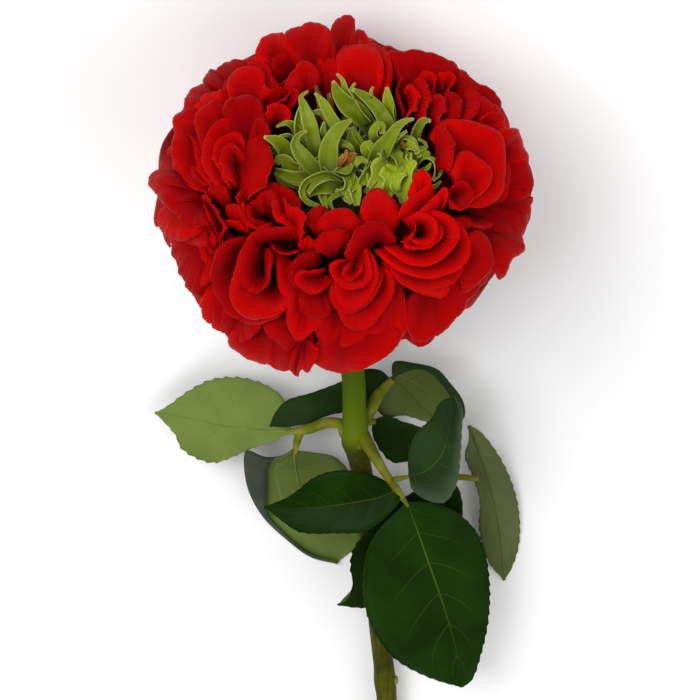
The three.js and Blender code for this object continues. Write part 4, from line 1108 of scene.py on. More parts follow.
eye = {
    "carpels": [  # spine as picture x, y and height up the bloom, widths in picture points, turn, frill
        ([(318, 164, 16), (313, 142, 20), (308, 121, 24), (303, 104, 26.5), (301, 97, 27.5),
            (308, 91, 28)], (12, 15, 14, 8, 4, 2), 0, 0),
        ([(304, 150, 17), (300, 136, 19), (299, 120, 23), (301, 106, 25.5)], (12, 14, 13, 3), -0.4, 0),
        ([(304, 142, 17), (296, 127, 21), (287, 123, 23), (276, 127, 23)], (10, 12, 5, 2), 0.3, 0),
        ([(300, 170, 15), (286, 152, 19.5), (275, 142, 24.5), (264, 137, 27.5)], (14, 19, 13, 2), 0, 0),
        ([(296, 168, 15), (284, 157, 18), (274, 151, 21), (267, 148, 22.5)], (10, 12, 6, 2), 0.5, 0),
        ([(299, 152, 17), (295, 140, 21), (288, 135, 24), (278, 137, 25)], (5, 5, 4, 2), 1.2, 0),
        ([(324, 176, 17), (310, 165, 19), (299, 153, 21), (295, 143, 23), (299, 135, 24.5),
            (307, 131, 25.5)], (14, 17, 14, 9, 5, 2), 0, 0),
        ([(316, 180, 15), (298, 179, 18), (285, 175, 19.5), (275, 171, 20)], (14, 15, 12, 6), 0, 0),
        ([(312, 184, 14), (296, 184, 17), (282, 180, 18.5), (276, 174, 19)], (10, 10, 8, 4), 0.9, 0),
        ([(308, 172, 16), (292, 165, 18.5), (281, 160, 20), (276, 164, 19.5)], (12, 14, 12, 5), 0.4, 0.5),
        ([(328, 178, 17), (328, 160, 20), (331, 144, 23), (338, 131, 25.5), (345, 124, 27),
            (352, 120, 27.5)], (15, 18, 18, 13, 7, 2), 0, 0),
        ([(344, 136, 19), (331, 117, 23), (323, 103, 25.5), (315, 93, 27)], (9, 13, 8, 2), 0, 0),
        ([(344, 140, 18), (329, 120, 22), (320, 112, 24), (312, 113, 24)], (7, 9, 6, 3), 0.5, 0),
        ([(374, 134, 17), (360, 117, 21), (346, 104, 24.5), (338, 93, 27),
            (333, 81, 28.5)], (14, 20, 19, 12, 2), 0, 0),
        ([(368, 124, 20), (355, 104, 24), (346, 91, 26.5), (343, 81, 28.5),
            (337, 74, 29)], (10, 12, 7, 4, 2), 0.8, 0),
        ([(352, 98, 25), (351, 90, 27), (355, 83, 28)], (5, 3, 2), 0, 0),
        ([(393, 144, 17), (386, 124, 21), (377, 108, 24), (365, 97, 26),
            (352, 89, 27.5)], (14, 15, 14, 9, 3), -0.3, 0),
        ([(372, 98, 26), (371, 92, 27), (373, 87, 27.5)], (4, 3, 2), 0, 0),
        ([(392, 134, 17), (390, 116, 21), (388, 100, 25), (387, 87, 27.5)], (9, 11, 12, 2), 0, 0),
        ([(395, 130, 18), (393, 116, 21.5), (392, 104, 24), (390, 94, 26)], (6, 6, 5, 2), 0.7, 0),
        ([(370, 172, 17), (379, 154, 20), (390, 139, 23), (398, 127, 25), (406, 121, 26.5),
            (414, 119, 27)], (16, 19, 14, 9, 5, 2), 0, 0),
        ([(384, 150, 20), (396, 139, 23), (407, 131, 25)], (8, 6, 2), 0.5, 0),
        ([(412, 154, 17), (414, 139, 20), (418, 128, 23), (424, 121, 25),
            (431, 121, 25.5)], (8, 11, 10, 7, 2), -0.5, 0),
        ([(410, 154, 18), (419, 149, 20.5), (426, 148, 21), (425, 143, 21.5),
            (418, 139, 22)], (6, 5, 4, 3, 2), 0.6, 0),
        ([(416, 164, 18), (427, 159, 20.5), (436, 164, 21), (438, 173, 20.5),
            (433, 181, 19)], (6, 8, 9, 8, 3), 0.9, 0),
        ([(420, 172, 18), (428, 168, 20), (431, 163, 21)], (6, 5, 2), 0.8, 0),
        ([(428, 188, 18), (436, 186, 19), (441, 181, 19.5)], (5, 4, 2), 0, 0),
        ([(390, 156, 18), (386, 170, 20.4), (380, 182, 19.6), (373, 191, 17.5)], (20, 30, 24, 5), 0.1, 1.4),
        ([(393, 166, 19.4), (393, 177, 20.8), (391, 187, 20.2), (388, 196, 18)], (14, 24, 18, 3), 0.2, 1.5),
        ([(400, 158, 18), (402, 172, 20.6), (402, 187, 19.4),
            (403, 204, 16.5)], (20, 30, 24, 3), -0.1, 1.5),
        ([(402, 158, 18), (408, 172, 19.6), (410, 186, 18.6), (409, 200, 17)], (12, 15, 12, 3), 0.4, 1.1),
        ([(402, 150, 18), (404, 160, 19.5), (409, 168, 20), (417, 172, 19)], (12, 14, 12, 3), -0.3, 1),
        ([(394, 146, 19), (397, 158, 20), (404, 166, 20), (412, 168, 19.5)], (10, 12, 10, 3), 0.3, 0.7),
        ([(372, 166, 18), (368, 174, 19.5), (362, 182, 19), (358, 187, 18)], (10, 12, 9, 3), 0.6, 0.5),
        ([(374, 168, 18), (372, 180, 19.5), (369, 188, 18.5)], (12, 12, 3), -0.4, 0.6),
        ([(378, 168, 18), (378, 180, 19.2), (377, 190, 18)], (12, 12, 3), 0.3, 0.6),
        ([(340, 182, 17.5), (328, 175, 20.5), (313, 177, 22), (303, 184, 22), (301, 194, 21),
            (307, 202, 19.5), (319, 206, 18.2)], (9, 9, 8, 8, 8, 6, 3), 0.7, 0),
        ([(340, 190, 16.5), (326, 186, 18.5), (314, 188, 19), (306, 194, 18.8)], (16, 20, 16, 8), -0.2, 0),
        ([(338, 180, 18), (326, 181, 20.6), (314, 186, 21), (308, 194, 20)], (7, 8, 7, 3), -0.9, 0),
        ([(322, 192, 16.5), (323, 201, 18), (327, 211, 17)], (9, 8, 2), 0.5, 0),
        ([(350, 193, 16.5), (338, 195, 18.5), (330, 201, 18.3), (333, 210, 17)], (7, 6, 5, 2), -0.6, 0),
        ([(343, 174, 17), (347, 184, 18.5), (342, 192, 18.5), (336, 190, 18)], (9, 9, 7, 3), 0.8, 0.4),
        ([(352, 180, 17), (355, 194, 18.2), (357, 206, 17)], (12, 14, 4), 0.2, 0.4),
        ([(345, 184, 16.5), (348, 196, 18), (352, 204, 17.5)], (10, 12, 4), -0.3, 0.4),
        ([(360, 184, 16.5), (352, 190, 18.5), (346, 198, 18)], (8, 8, 3), -0.6, 0.4),
        ([(326, 140, 18), (323, 130, 22), (324, 122, 24)], (6, 6, 2), 0, 0),
        ([(362, 152, 17), (352, 142, 20), (349, 128, 23)], (9, 10, 2), 0.4, 0),
        ([(366, 150, 17), (357, 138, 20.5), (352, 127, 23)], (7, 8, 2), -0.4, 0),
        ([(344, 152, 18), (342, 144, 21), (350, 147, 21), (354, 154, 19)], (7, 8, 6, 3), 0.7, 0),
        ([(378, 142, 19), (375, 132, 22), (380, 126, 23), (383, 134, 22)], (9, 12, 10, 5), 0.5, 0),
        ([(372, 158, 18), (366, 148, 21), (372, 142, 22)], (10, 11, 4), 0.3, 0),
        ([(334, 168, 17), (340, 172, 19), (348, 171, 19.5), (352, 164, 20)], (9, 9, 7, 3), 0.6, 0.4),
        ([(356, 172, 17), (354, 164, 19.5), (361, 160, 20), (368, 163, 19.5)], (8, 9, 8, 3), 0.5, 0.4),
        ([(404, 150, 18), (410, 146, 21), (416, 150, 21), (420, 158, 20)], (8, 9, 8, 3), 0.5, 0.6),
        ([(408, 160, 17.5), (416, 156, 20), (424, 153, 20.5), (430, 155, 20)], (9, 9, 7, 3), -0.5, 0.6),
        ([(400, 144, 19), (406, 139, 21.5), (413, 141, 22), (418, 147, 21)], (7, 8, 6, 2), 0.8, 0),
    ],
    "rusty": [
        ([(336, 170, 18), (342, 160, 20.5), (349, 155, 21), (358, 155, 20)], (6, 7, 5, 2), 0.4, 0.5),
        ([(340, 168, 18), (345, 157, 21), (347, 150, 22)], (6, 5, 2), -0.3, 0.4),
        ([(346, 168, 18), (351, 160, 20.5), (356, 153, 21)], (5, 5, 2), 0.8, 0.4),
        ([(322, 124, 17), (322, 108, 21), (318, 94, 24), (316, 85, 26)], (8, 9, 6, 2), 0, 0),
        ([(330, 118, 17), (331, 104, 21), (329, 93, 23)], (7, 8, 3), 0.4, 0),
        ([(318, 124, 17), (316, 114, 20), (321, 108, 21)], (6, 6, 3), 0.4, 0),
        ([(402, 148, 19), (403, 144, 20.5), (400, 142, 21)], (5, 4, 2), 0, 0),
        ([(362, 112, 20), (358, 100, 23), (354, 94, 24)], (5, 5, 2), 0, 0),
    ],
    "mound": [
        (11, -9.4), (11.2, -4), (11.2, 3), (11, 9), (10.2, 11.5), (8.5, 13.2), (6.4, 14.8), (4.0, 15.6),
        (1.5, 15.9),
    ],
    "moundSides": 32, "moundSkin": ((0.02, 0.045, 0.004, 1), (0.08, 0.11, 0.012, 1)),
    "lanes": 9, "points": 25, "perSpan": 7, "thick": 0.34, "thinnest": 0.12, "cup": 0.48,
    "facing": (0, -0.68, 0.73),
    "dry": ((0.13, 0.028, 0.003, 1), (0.4, 0.19, 0.03, 1), 0.6),
    "rust": ((0.19, 0.05, 0.008, 1), (0.42, 0.2, 0.03, 1), 0.6),
    "stamens": {
        "Density": 90000.0, "Seed": 4, "Length": 0.0026, "Foot radius": 0.00018, "Head radius": 0.0003,
        "Tilt": 0.7,
    },
}
filler = {"count": 46, "turns": 5, "near": 3, "spread": 7.5, "foot": 12.0, "widths": (2.4, 3.4, 2.6, 0.6)}
eyeLook = {  # each band says where its mask starts and ends, then the strength at both
    "dark": (0.098, 0.138, 0.001, 1), "light": (0.31, 0.385, 0.012, 1), "roughness": 0.5, "specular": 0.08,
    "streak": (0.12, 0.165, 0.002, 1), "streakBand": (0.4, 0.7, 0.0, 0.5),
    "blotch": (0.26, 0.31, 0.05, 1), "blotchBand": (0.45, 0.7, 0.0, 0.4),
    # foot: painted shade, each strip darker toward its foot, down between the others
    "foot": (0.02, 0.035, 0.001, 1), "footBand": (0.0, 0.45, 0.85, 0.0),
    "rim": (0.5, 0.54, 0.22, 1), "rimBand": (0.9, 1.0), "brokenBand": (0.35, 0.6, 0.1, 0.55),
    "tip": (0.5, 0.36, 0.16, 1), "tipBand": (0.93, 1.0, 0.0, 0.7),
}


def atHeight(spots):
    # picture x, y and height up the bloom's axis to a point in bloom coordinates
    spots = np.asarray(spots, float)
    across, away, axis = bloomAxes()
    point = seenAt(spots[:, :2], bloom["centre"], axis, spots[:, 2]) - np.array(bloom["centre"])
    return np.stack([point @ across, point @ away, spots[:, 2]], -1)


def carpelGrid(spine, widths, turn, frill):
    # strip along its spine that looks to the front, cupped, with a frilled edge
    phase = anyPhase()
    line = smoothLine(spine, eye["perSpan"])
    wide = softened(smoothWidths(widths, eye["perSpan"]) / 2)
    line = evenLine(np.column_stack([line, wide]), eye["points"])
    line, wide = line[:, :3], np.maximum(line[:, 3], eye["thinnest"])
    t = np.linspace(0, 1, len(line))
    along = unit(np.gradient(line, axis=0))
    side = unit(np.cross(along, np.broadcast_to(np.array(eye["facing"]), along.shape)))
    up = np.cross(side, along)
    swing = (turn * np.sin(math.pi * np.clip(t * 0.9 + 0.1, 0, 1)) + 0.25 * np.sin(5 * t + phase))[:, None]
    across = np.cos(swing) * side + np.sin(swing) * up
    lift = np.cos(swing) * up - np.sin(swing) * side
    q = np.linspace(-1, 1, eye["lanes"])[:, None]
    wave = frill * 0.5 * q * np.abs(q) * np.sin(15 * t + phase)
    wave = wave + 0.25 * frill * np.abs(q) ** 3 * np.sin(37 * t + 2 * phase)
    rise = eye["cup"] * np.abs(q) ** 1.3 * wide + wave
    reach = q * wide * (1 + 0.12 * frill * np.sin(23 * t + phase) + 0.06 * np.sin(11 * t + phase))
    return bloomPoint(line[None] + reach[..., None] * across[None] + rise[..., None] * lift[None])


def eyeLeaf():
    material, tree, shader = newMaterial("eyeLeaf")
    across, along = uvParts(tree)
    grain = placeGroup(tree, plantGrain, {"Blotch scale": 260.0, "Grain scale": 3000.0})
    streak = placeGroup(tree, fanStreaks, {"Across": 14.0, "Along": 1.2})["Streak"]
    colour = mixColours(tree, readAttribute(tree, "tone"), eyeLook["dark"], eyeLook["light"])
    # streak and blotch are the leaves' own marks; foot paints shade in toward their feet
    for mask, name in ((streak, "streak"), (grain["Blotch"], "blotch"), (along, "foot")):
        colour = paintOver(tree, colour, mask, eyeLook[name + "Band"], eyeLook[name])
    edge = mapRange(tree, fromMiddle(tree, across), *eyeLook["rimBand"])
    edge = mathNode(tree, "MULTIPLY", edge, mapRange(tree, streak, *eyeLook["brokenBand"]))
    colour = mixColours(tree, edge, colour, eyeLook["rim"])
    colour = paintOver(tree, colour, along, eyeLook["tipBand"], eyeLook["tip"])
    tree.links.new(colour, shader.inputs["Base Color"])
    shader.inputs["Roughness"].default_value = eyeLook["roughness"]
    shader.inputs["Specular IOR Level"].default_value = eyeLook["specular"]
    addBump(tree, shader, weighed(tree, streak, 1.0, grain["Grain"], 0.4), 0.5, 0.0002)
    return material


def addStrips(shell, strips, low, high):
    # strips that the photograph shows, the deeply frilled ones paler
    for spine, widths, turn, frill in strips:
        grid = carpelGrid(atHeight(spine), np.array(widths) / view["zoom"], turn, frill)
        addSheet(shell, grid, eye["thick"], chance(low, high) + 0.4 * (frill > 1), (0, 0, 1))


def addFiller(shell):
    # short curled leaves deep between the long ones
    up = np.array([0, 0, 1.0])
    for k in range(filler["count"]):
        azimuth = fullTurn * (k + 0.7 * rng.random()) / filler["count"] * filler["turns"]
        r = filler["near"] + filler["spread"] * (k + 0.5) / filler["count"]
        x, y = bloom["eyeX"] + r * math.cos(azimuth), bloom["eyeY"] + r * math.sin(azimuth)
        foot = np.array([x, y, filler["foot"]])
        out = np.array([math.cos(azimuth + rng.normal(0, 0.5)), math.sin(azimuth + rng.normal(0, 0.5)), 0])
        high = chance(3.5, 6.5)
        spine = [
            foot, foot + out * 1.2 + up * high * 0.7, foot + out * 3.2 + up * high,
            foot + out * chance(4.5, 5.5) + up * (high - chance(0, 1.5)),
        ]
        grid = carpelGrid(spine, filler["widths"], rng.normal(0, 0.6), chance(0, 0.8))
        addSheet(shell, grid, eye["thick"], chance(0, 0.3), (0, 0, 1))


def eyePieces():
    shell = newShell()
    addStrips(shell, eye["carpels"], 0.15, 0.75)
    addFiller(shell)
    leaves = makePiece("eye_carpels", shell, eyeLeaf())
    shell = newShell()
    addStrips(shell, eye["rusty"], 0, 1)
    dry = makePiece("eye_rusty", shell, greenSkin("dryRust", *eye["dry"]))
    shell = newShell()
    addLathe(shell, [bloomRing(r, h, eye["moundSides"], 1) for r, h in eye["mound"]])
    mound = makePiece("eye_mound", shell, greenSkin("eyeHeart", *eye["moundSkin"]))
    stamens = growHairs("eye_stamens", mound, greenSkin("stamenRust", *eye["rust"]), eye["stamens"])
    return leaves, dry, mound, stamens


handOver(eyePieces(), "eye")


calyx = {
    "hip": [
        (3.3, -39.9), (3.9, -39), (4.4, -38), (5.2, -36.6), (5.8, -35), (6.3, -33), (6.4, -31.5),
        (6.6, -29.6), (6.8, -27.2),
    ],
    "sepal": [(4.5, -30.6, 3.2), (12, -31.3, 3.9), (18, -32, 2.4), (24, -33.4, 0.5)],  # out, up, half width
    "sides": 28, "count": 5, "start": 12.0, "lanes": 9, "perSpan": 9, "thick": 0.6,
    "green": ((0.06, 0.1, 0.008, 1), (0.14, 0.19, 0.03, 1), 0.55),
    "rust": ((0.16, 0.09, 0.02, 1), (0.3, 0.22, 0.06, 1), 0.6),
    "hairs": {
        "Density": 420000.0, "Seed": 9, "Length": 0.0005, "Foot radius": 0.00005, "Head radius": 0.00005,
        "Tilt": 0.6,
    },
}


def calyxPieces():
    shell = newShell()
    addLathe(shell, [bloomRing(r, h, calyx["sides"]) for r, h in calyx["hip"]])
    lie = smoothLine(calyx["sepal"], calyx["perSpan"])
    r, h, half = lie.T[:, None, :]
    q = np.linspace(-1, 1, calyx["lanes"])[:, None]
    for i in range(calyx["count"]):
        azimuth = math.radians(360 / calyx["count"] * i + calyx["start"])
        lobes = 1 + 0.16 * np.abs(q) ** 3 * np.sin(np.arange(len(lie)) * 1.9 + i)
        across = q * half * lobes
        x = r * math.cos(azimuth) - across * math.sin(azimuth)
        y = r * math.sin(azimuth) + across * math.cos(azimuth)
        z = h - 0.35 * np.abs(q) - 0.25 * np.sin(4 * across + i) * np.abs(q)
        addSheet(shell, bloomPoint(np.stack([x, y, z], -1)), calyx["thick"], rng.random())
    body = makePiece("calyx_body", shell, greenSkin("sepalGreen", *calyx["green"]))
    return body, growHairs("calyx_hairs", body, greenSkin("hairTips", *calyx["rust"]), calyx["hairs"])


handOver(calyxPieces(), "calyx")


stem = {
    "line": [  # centre, radius
        ((0, -38.45, 31.27), 3.2), ((0.2, -42.6, 29.6), 3.2), ((1.6, -51.5, 27.5), 3.2),
        ((3.3, -62.5, 25), 3.2), ((3.7, -76, 20.4), 3.25), ((3.9, -83.4, 18), 3.75),
        ((4.1, -87.2, 16.9), 4.05), ((4.6, -91, 15.9), 3.2), ((5.8, -97.8, 14.5), 2.95),
        ((8.6, -125, 11.1), 2.95), ((11.0, -152, 8.6), 2.98), ((12.4, -166, 7.4), 3),
        ((12.8, -171.5, 6.9), 3.35), ((13.3, -177, 6.5), 3), ((14.8, -205, 3.8), 3),
        ((15.2, -215.9, 3.06), 3),
    ],
    "perSpan": 8, "inset": 0.02, "sides": 28,
    "buds": [((4.9, -86.4, 20.2), (1.3, 1.5, 1.0)), ((15.8, -171, 7.4), (0.9, 1.6, 1.2))],
    "budSides": 16, "budRings": 8,
    "skin": ((0.03, 0.036, 0.001, 1), (0.07, 0.07, 0.003, 1), 0.42, (900, 60, 900)),
    "bands": [  # paler above the node, darker toward the bloom, and the pale pith of the cut end
        ((-0.083, -0.09, 1.0, 0.0), (0.105, 0.15, 0.002, 1)),
        ((-0.0955, -0.055, 0.0, 1.0), (0.045, 0.08, 0.0005, 1)),
        ((-0.21622, -0.2161, 1.0, 0.0), (0.45, 0.5, 0.25, 1)),
    ],
    "budSkin": ((0.09, 0.12, 0.01, 1), (0.17, 0.2, 0.04, 1), 0.5),
    "speckSkin": ((0.14, 0.17, 0.03, 1), (0.22, 0.24, 0.07, 1), 0.6),
    "specks": {
        "Density": 90000.0, "Seed": 12, "Length": 0.00004, "Foot radius": 0.0001, "Head radius": 0.00005,
        "Tilt": 0.1,
    },
}


def ballRings(centre, size):
    # rings from end to end of a bud that points along the stem
    turn = np.linspace(0, fullTurn, stem["budSides"], endpoint=False)
    rings = []
    for k in range(stem["budRings"]):
        lean = math.pi * (k + 1) / (stem["budRings"] + 1)
        middle = np.full(len(turn), -math.cos(lean))
        ball = np.stack([np.cos(turn) * math.sin(lean), middle, np.sin(turn) * math.sin(lean)], -1)
        rings.append(np.array(centre) + ball * np.array(size))
    return rings


def stemPieces():
    points = smoothLine([centre for centre, radius in stem["line"]], stem["perSpan"])
    radii = smoothWidths([radius for centre, radius in stem["line"]], stem["perSpan"])
    radii = softened(radii) - stem["inset"]
    skin = greenSkin("stemSkin", *stem["skin"], stem["bands"])
    body = growMesh(
        lineObject("stem_body", [(points, radii)]), tubes, {"Sides": stem["sides"], "Material": skin})
    shell = newShell()
    for centre, size in stem["buds"]:
        addLathe(shell, ballRings(centre, size))
    buds = makePiece("stem_buds", shell, greenSkin("budGreen", *stem["budSkin"]))
    specks = growHairs("stem_specks", body, greenSkin("stemSpecks", *stem["speckSkin"]), stem["specks"])
    return body, buds, specks


handOver(stemPieces(), "stem")


leaves = {  # rib, margins, flap and stalks where the picture shows them; heights and sizes in mm
    "leaf_left": {
        # upper is the grey-green of the folded strip: partly the leaf's own colour, partly painted sheen on
        # its upper face
        "slot": "leaf_light", "upper": (0.055, 0.067, 0.047), "under": (0.135, 0.19, 0.04),
        "vein": (0.05, 0.08, 0.02),
        "stalks": [
            ([(347, 432, 16.4), (341, 424, 18.4), (327, 423, 18.8), (307, 429, 18.8), (286, 432, 18.4)],
             (2.4, 1.5, 1.5, 1.5, 0.6)),
            ([(301, 430, 18.4), (297, 442, 17.4), (295, 453, 16.6)], (1.2, 1.1, 0.6)),
        ],
        "blades": [
            {"heights": (18.3, 5), "bow": 3.5, "cup": -1.2, "up": (-0.35, -0.15, -1), "shade": 1.0, "cut": 1,
             "rib": [(290, 431), (262, 430), (225, 426), (178, 416), (155, 413)],
             "margins": (
                 [(290, 431), (289, 414), (281, 397), (262, 384), (236, 378), (210, 381), (188, 392),
                  (168, 406), (155, 413)],
                 [(290, 431), (280, 438), (262, 444), (240, 453), (215, 462), (196, 457), (181, 447),
                  (175, 434), (155, 413)])},
            {"heights": (16.6, 0.45), "bow": 2.4, "cup": 0.6, "up": (0.1, -0.3, -1), "shade": 0.62,
             "paler": 0.4, "cut": 0.4,
             "rib": [(293, 450), (298, 480), (308, 510), (320, 540), (338, 562)],
             "margins": (
                 [(293, 450), (282, 456), (266, 458), (246, 452), (245, 474), (251, 495), (264, 516),
                  (285, 536), (310, 555), (338, 562)],
                 [(293, 450), (312, 453), (335, 458), (350, 474), (362, 496), (366, 518), (360, 542),
                  (338, 562)]),
             "flap": (0, 1.5, [(293, 450), (284, 455), (274, 459), (268, 466), (267, 482), (267, 498),
                               (268, 514), (286, 535), (311, 554), (338, 562)])},
        ],
    },
    "leaf_front": {
        "slot": "leaf_dark", "upper": (0.0055, 0.023, 0.0005), "under": (0.05, 0.075, 0.02),
        "vein": (0.06, 0.1, 0.01),
        "stalks": [
            ([(362, 436, 18.5), (371, 450, 22.3), (385, 473, 24), (397, 490, 24.4), (408, 506, 24.5)],
             (2.3, 1.7, 1.2, 1.0, 0.5)),
            ([(398, 490, 24.4), (393, 490, 24.2)], (0.8, 0.6)),
            ([(394, 480, 24.4), (402, 478, 24.5), (410, 477, 24.4)], (0.9, 0.7, 0.5)),
        ],
        "blades": [
            {"heights": (24.5, 18), "bow": 2.0, "cup": 0.8, "up": (0.1, 0.25, 1), "shade": 1.05, "cut": 0.7,
             "rib": [(407, 502), (420, 538), (432, 572), (445, 610), (455, 645), (462, 687)],
             "margins": (
                 [(407, 502), (398, 510), (380, 528), (368, 550), (364, 580), (365, 605), (376, 634),
                  (396, 659), (427, 676), (462, 687)],
                 [(407, 502), (428, 503), (454, 511), (474, 529), (484, 550), (489, 582), (488, 620),
                  (480, 656), (471, 680), (462, 687)])},
            {"heights": (24.2, 21), "bow": 1.5, "cup": 1.2, "up": (0, 0.35, 1), "shade": 0.9, "cut": 0.4,
             "rib": [(396, 489), (380, 497), (350, 503), (310, 508), (264, 507)],
             "margins": (
                 [(396, 489), (380, 478), (358, 472), (336, 471), (314, 478), (290, 496), (264, 507)],
                 [(396, 489), (400, 500), (390, 513), (365, 531), (335, 533), (300, 532), (281, 520),
                  (264, 507)])},
            {"heights": (24.4, 32), "bow": 2.5, "cup": 2.2, "up": (-0.5, 0.3, 1), "shade": 1.2,
             "glare": (1, 0.27), "cut": 0.5,
             "rib": [(409, 477), (427, 470), (441, 456), (449, 434), (454, 396)],
             "margins": (
                 [(409, 477), (409, 455), (416, 434), (432, 418), (441, 402), (454, 396)],
                 [(409, 477), (412, 489), (428, 500), (444, 502), (456, 484), (459, 460), (461, 430),
                  (462, 408), (454, 396)])},
        ],
    },
    "leaf_back": {
        "slot": "leaf_mixed", "upper": (0.009, 0.024, 0.003), "under": (0.055, 0.075, 0.012),
        "vein": (0.02, 0.035, 0.006),
        "stalks": [
            ([(358, 426, 15.6), (369, 410, 16.4), (379, 394, 17), (393, 379, 18)], (2.3, 2.1, 1.7, 1.0)),
            ([(357, 426, 15.4), (375, 421, 12.8)], (1.1, 0.8)),
        ],
        "blades": [
            {"heights": (17.9, 12), "bow": 1.0, "cup": 0.8, "up": (0.2, 0.3, -1), "shade": 1.18,
             "glare": (1, 0.25), "cut": 0.5,
             "rib": [(393, 378), (406, 390), (426, 410), (452, 428)],
             "margins": (
                 [(393, 378), (394, 362), (415, 364), (437, 370), (449, 382), (463, 401), (464, 416),
                  (452, 428)],
                 [(393, 378), (384, 390), (377, 408), (386, 417), (404, 415), (424, 420), (452, 428)]),
             "flap": (0, 0.9, [(393, 378), (400, 374), (416, 369), (432, 374), (444, 386), (454, 402),
                               (459, 417), (452, 428)])},
            {"heights": (17.4, 21.5), "bow": -3.5, "cup": 0.4, "up": (0, 0.15, 1), "shade": 1.1, "cut": 0.2,
             "rib": [(390, 379), (360, 392), (330, 404), (300, 415), (270, 426)],
             "margins": (
                 [(390, 379), (382, 371), (366, 369), (341, 382), (312, 393), (286, 401), (274, 415),
                  (270, 426)],
                 [(390, 379), (378, 396), (355, 409), (330, 415), (305, 424), (284, 427), (270, 426)])},
            {"heights": (12.9, 7.5), "bow": -0.5, "cup": 0.6, "up": (0, 0.1, 1), "shade": 0.85, "cut": 0.8,
             "rib": [(372, 421), (388, 433), (400, 446), (410, 461)],
             "margins": (
                 [(372, 421), (384, 417), (402, 422), (423, 430), (417, 445), (410, 461)],
                 [(372, 421), (373, 436), (384, 454), (394, 462), (410, 461)])},
        ],
    },
    "leaf_low": {
        "slot": "leaf_mixed", "upper": (0.006, 0.02, 0.0008), "under": (0.078, 0.096, 0.03),
        "vein": (0.02, 0.035, 0.004),
        "stalks": [
            ([(376, 577, 11), (400, 536, 12.4), (419, 507, 13.2), (437, 479, 13.6), (458, 477, 12.6),
             (478, 479, 11.4)], (1.9, 1.3, 1.1, 1, 0.9, 0.7)),
        ],
        "blades": [
            {"heights": (13.6, 15.4), "bow": 1.5, "cup": 0.6, "up": (0, 0, 1), "shade": 0.9, "cut": 1,
             "rib": [(436, 482), (410, 520), (378, 562), (338, 605)],
             "margins": (
                 [(436, 482), (404, 498), (376, 524), (354, 550), (351, 570), (353, 582), (348, 598),
                  (338, 605)],
                 [(436, 482), (430, 520), (414, 562), (386, 598), (364, 607), (338, 605)])},
            {"heights": (13.4, 9), "bow": 1.0, "cup": 0.8, "up": (0.2, 0, 1), "shade": 1.0, "cut": 0.4,
             "rib": [(438, 480), (444, 505), (440, 530), (432, 556)],
             "margins": (
                 [(438, 480), (424, 495), (416, 515), (420, 540), (432, 556)],
                 [(438, 480), (455, 484), (462, 502), (460, 525), (450, 545), (432, 556)])},
            {"heights": (10.5, 0.55), "bow": -1.5, "cup": 1.4, "up": (-0.2, -0.1, -1), "shade": 1.2,
             "cut": 0.7,
             "rib": [(469, 426), (482, 460), (491, 490), (499, 530), (504, 580)],
             "margins": (
                 [(469, 426), (469, 440), (465, 455), (472, 474), (480, 500), (480, 528), (488, 560),
                  (504, 580)],
                 [(469, 426), (478, 430), (498, 455), (513, 488), (519, 520), (518, 546), (511, 568),
                  (504, 580)])},
        ],
    },
}
blade = {
    "tooth": 2.4, "perTooth": 4, "toothHeight": 0.7, "lean": 0.6, "lanes": 15, "thick": 0.42, "clear": 0.26,
    "veins": 6, "slant": 0.26, "bend": 1.2, "puff": 0.16, "wave": 0.2, "tipWidth": 0.35, "perSpan": 6,
    "midrib": 0.25, "ribDrop": 0.26, "sideVein": 0.07, "veinDrop": 0.19, "veinSpan": (0.02, 0.84),
    "veinPoints": 11,
    "flapLanes": (0.12, 0.28, 0.46, 0.64, 0.82, 1.0), "ribSides": 6, "stalkSides": 14, "stalkSpan": 8,
}
leafLook = {  # shares of a leaf's own colours for its blotches and veins, then the shine of both sides
    "upper": (0.75, 1.3), "under": (0.9, 1.1), "underVein": 1.3, "rib": (0.9, 1.4), "sideShare": 0.3,
    "glare": (0.09, 0.11, 0.075, 1), "matt": (0.6, 0.6, 0.6, 1), "satin": (0.36, 0.36, 0.36, 1),
    "specular": 0.03, "stalk": ((0.08, 0.095, 0.004, 1), (0.2, 0.2, 0.02, 1)),
}


def bladeNet(leaflet):
    # rib and both margins of a leaflet, laid in its own plane
    spots, (low, high) = leaflet["rib"], leaflet["heights"]
    foot, tip = seenPath([(*spots[0], low), (*spots[-1], high)])
    right = unit(np.cross(unit(tip - foot), leaflet["up"]))
    face = np.cross(right, unit(tip - foot))
    outlines = [smoothLine(m, blade["perSpan"]) for m in leaflet["margins"]]
    length = np.linalg.norm(np.diff(outlines[1], axis=0), axis=1).sum() / view["zoom"]
    s = np.linspace(0, 1, int(length / blade["tooth"]) * blade["perTooth"] + 1)
    bow = 4 * leaflet["bow"] * s * (1 - s)
    cup = bow + leaflet["cup"] * np.sin(math.pi * s)
    rib = seenAt(evenLine(smoothLine(spots, blade["perSpan"]), len(s)), foot, face, bow)
    margins = [seenAt(evenLine(m, len(s)), foot, face, cup) for m in outlines]
    over = face * np.sign(face @ viewAxes()[2])
    flap = None
    if "flap" in leaflet:
        stand, outline = leaflet["flap"][1:]
        outline = evenLine(smoothLine(outline, blade["perSpan"]), len(s))
        flap = seenAt(outline, foot, face, cup + stand * np.sign(over @ face))
    return {"s": s, "rib": rib, "margins": margins, "face": face, "over": over, "flap": flap}


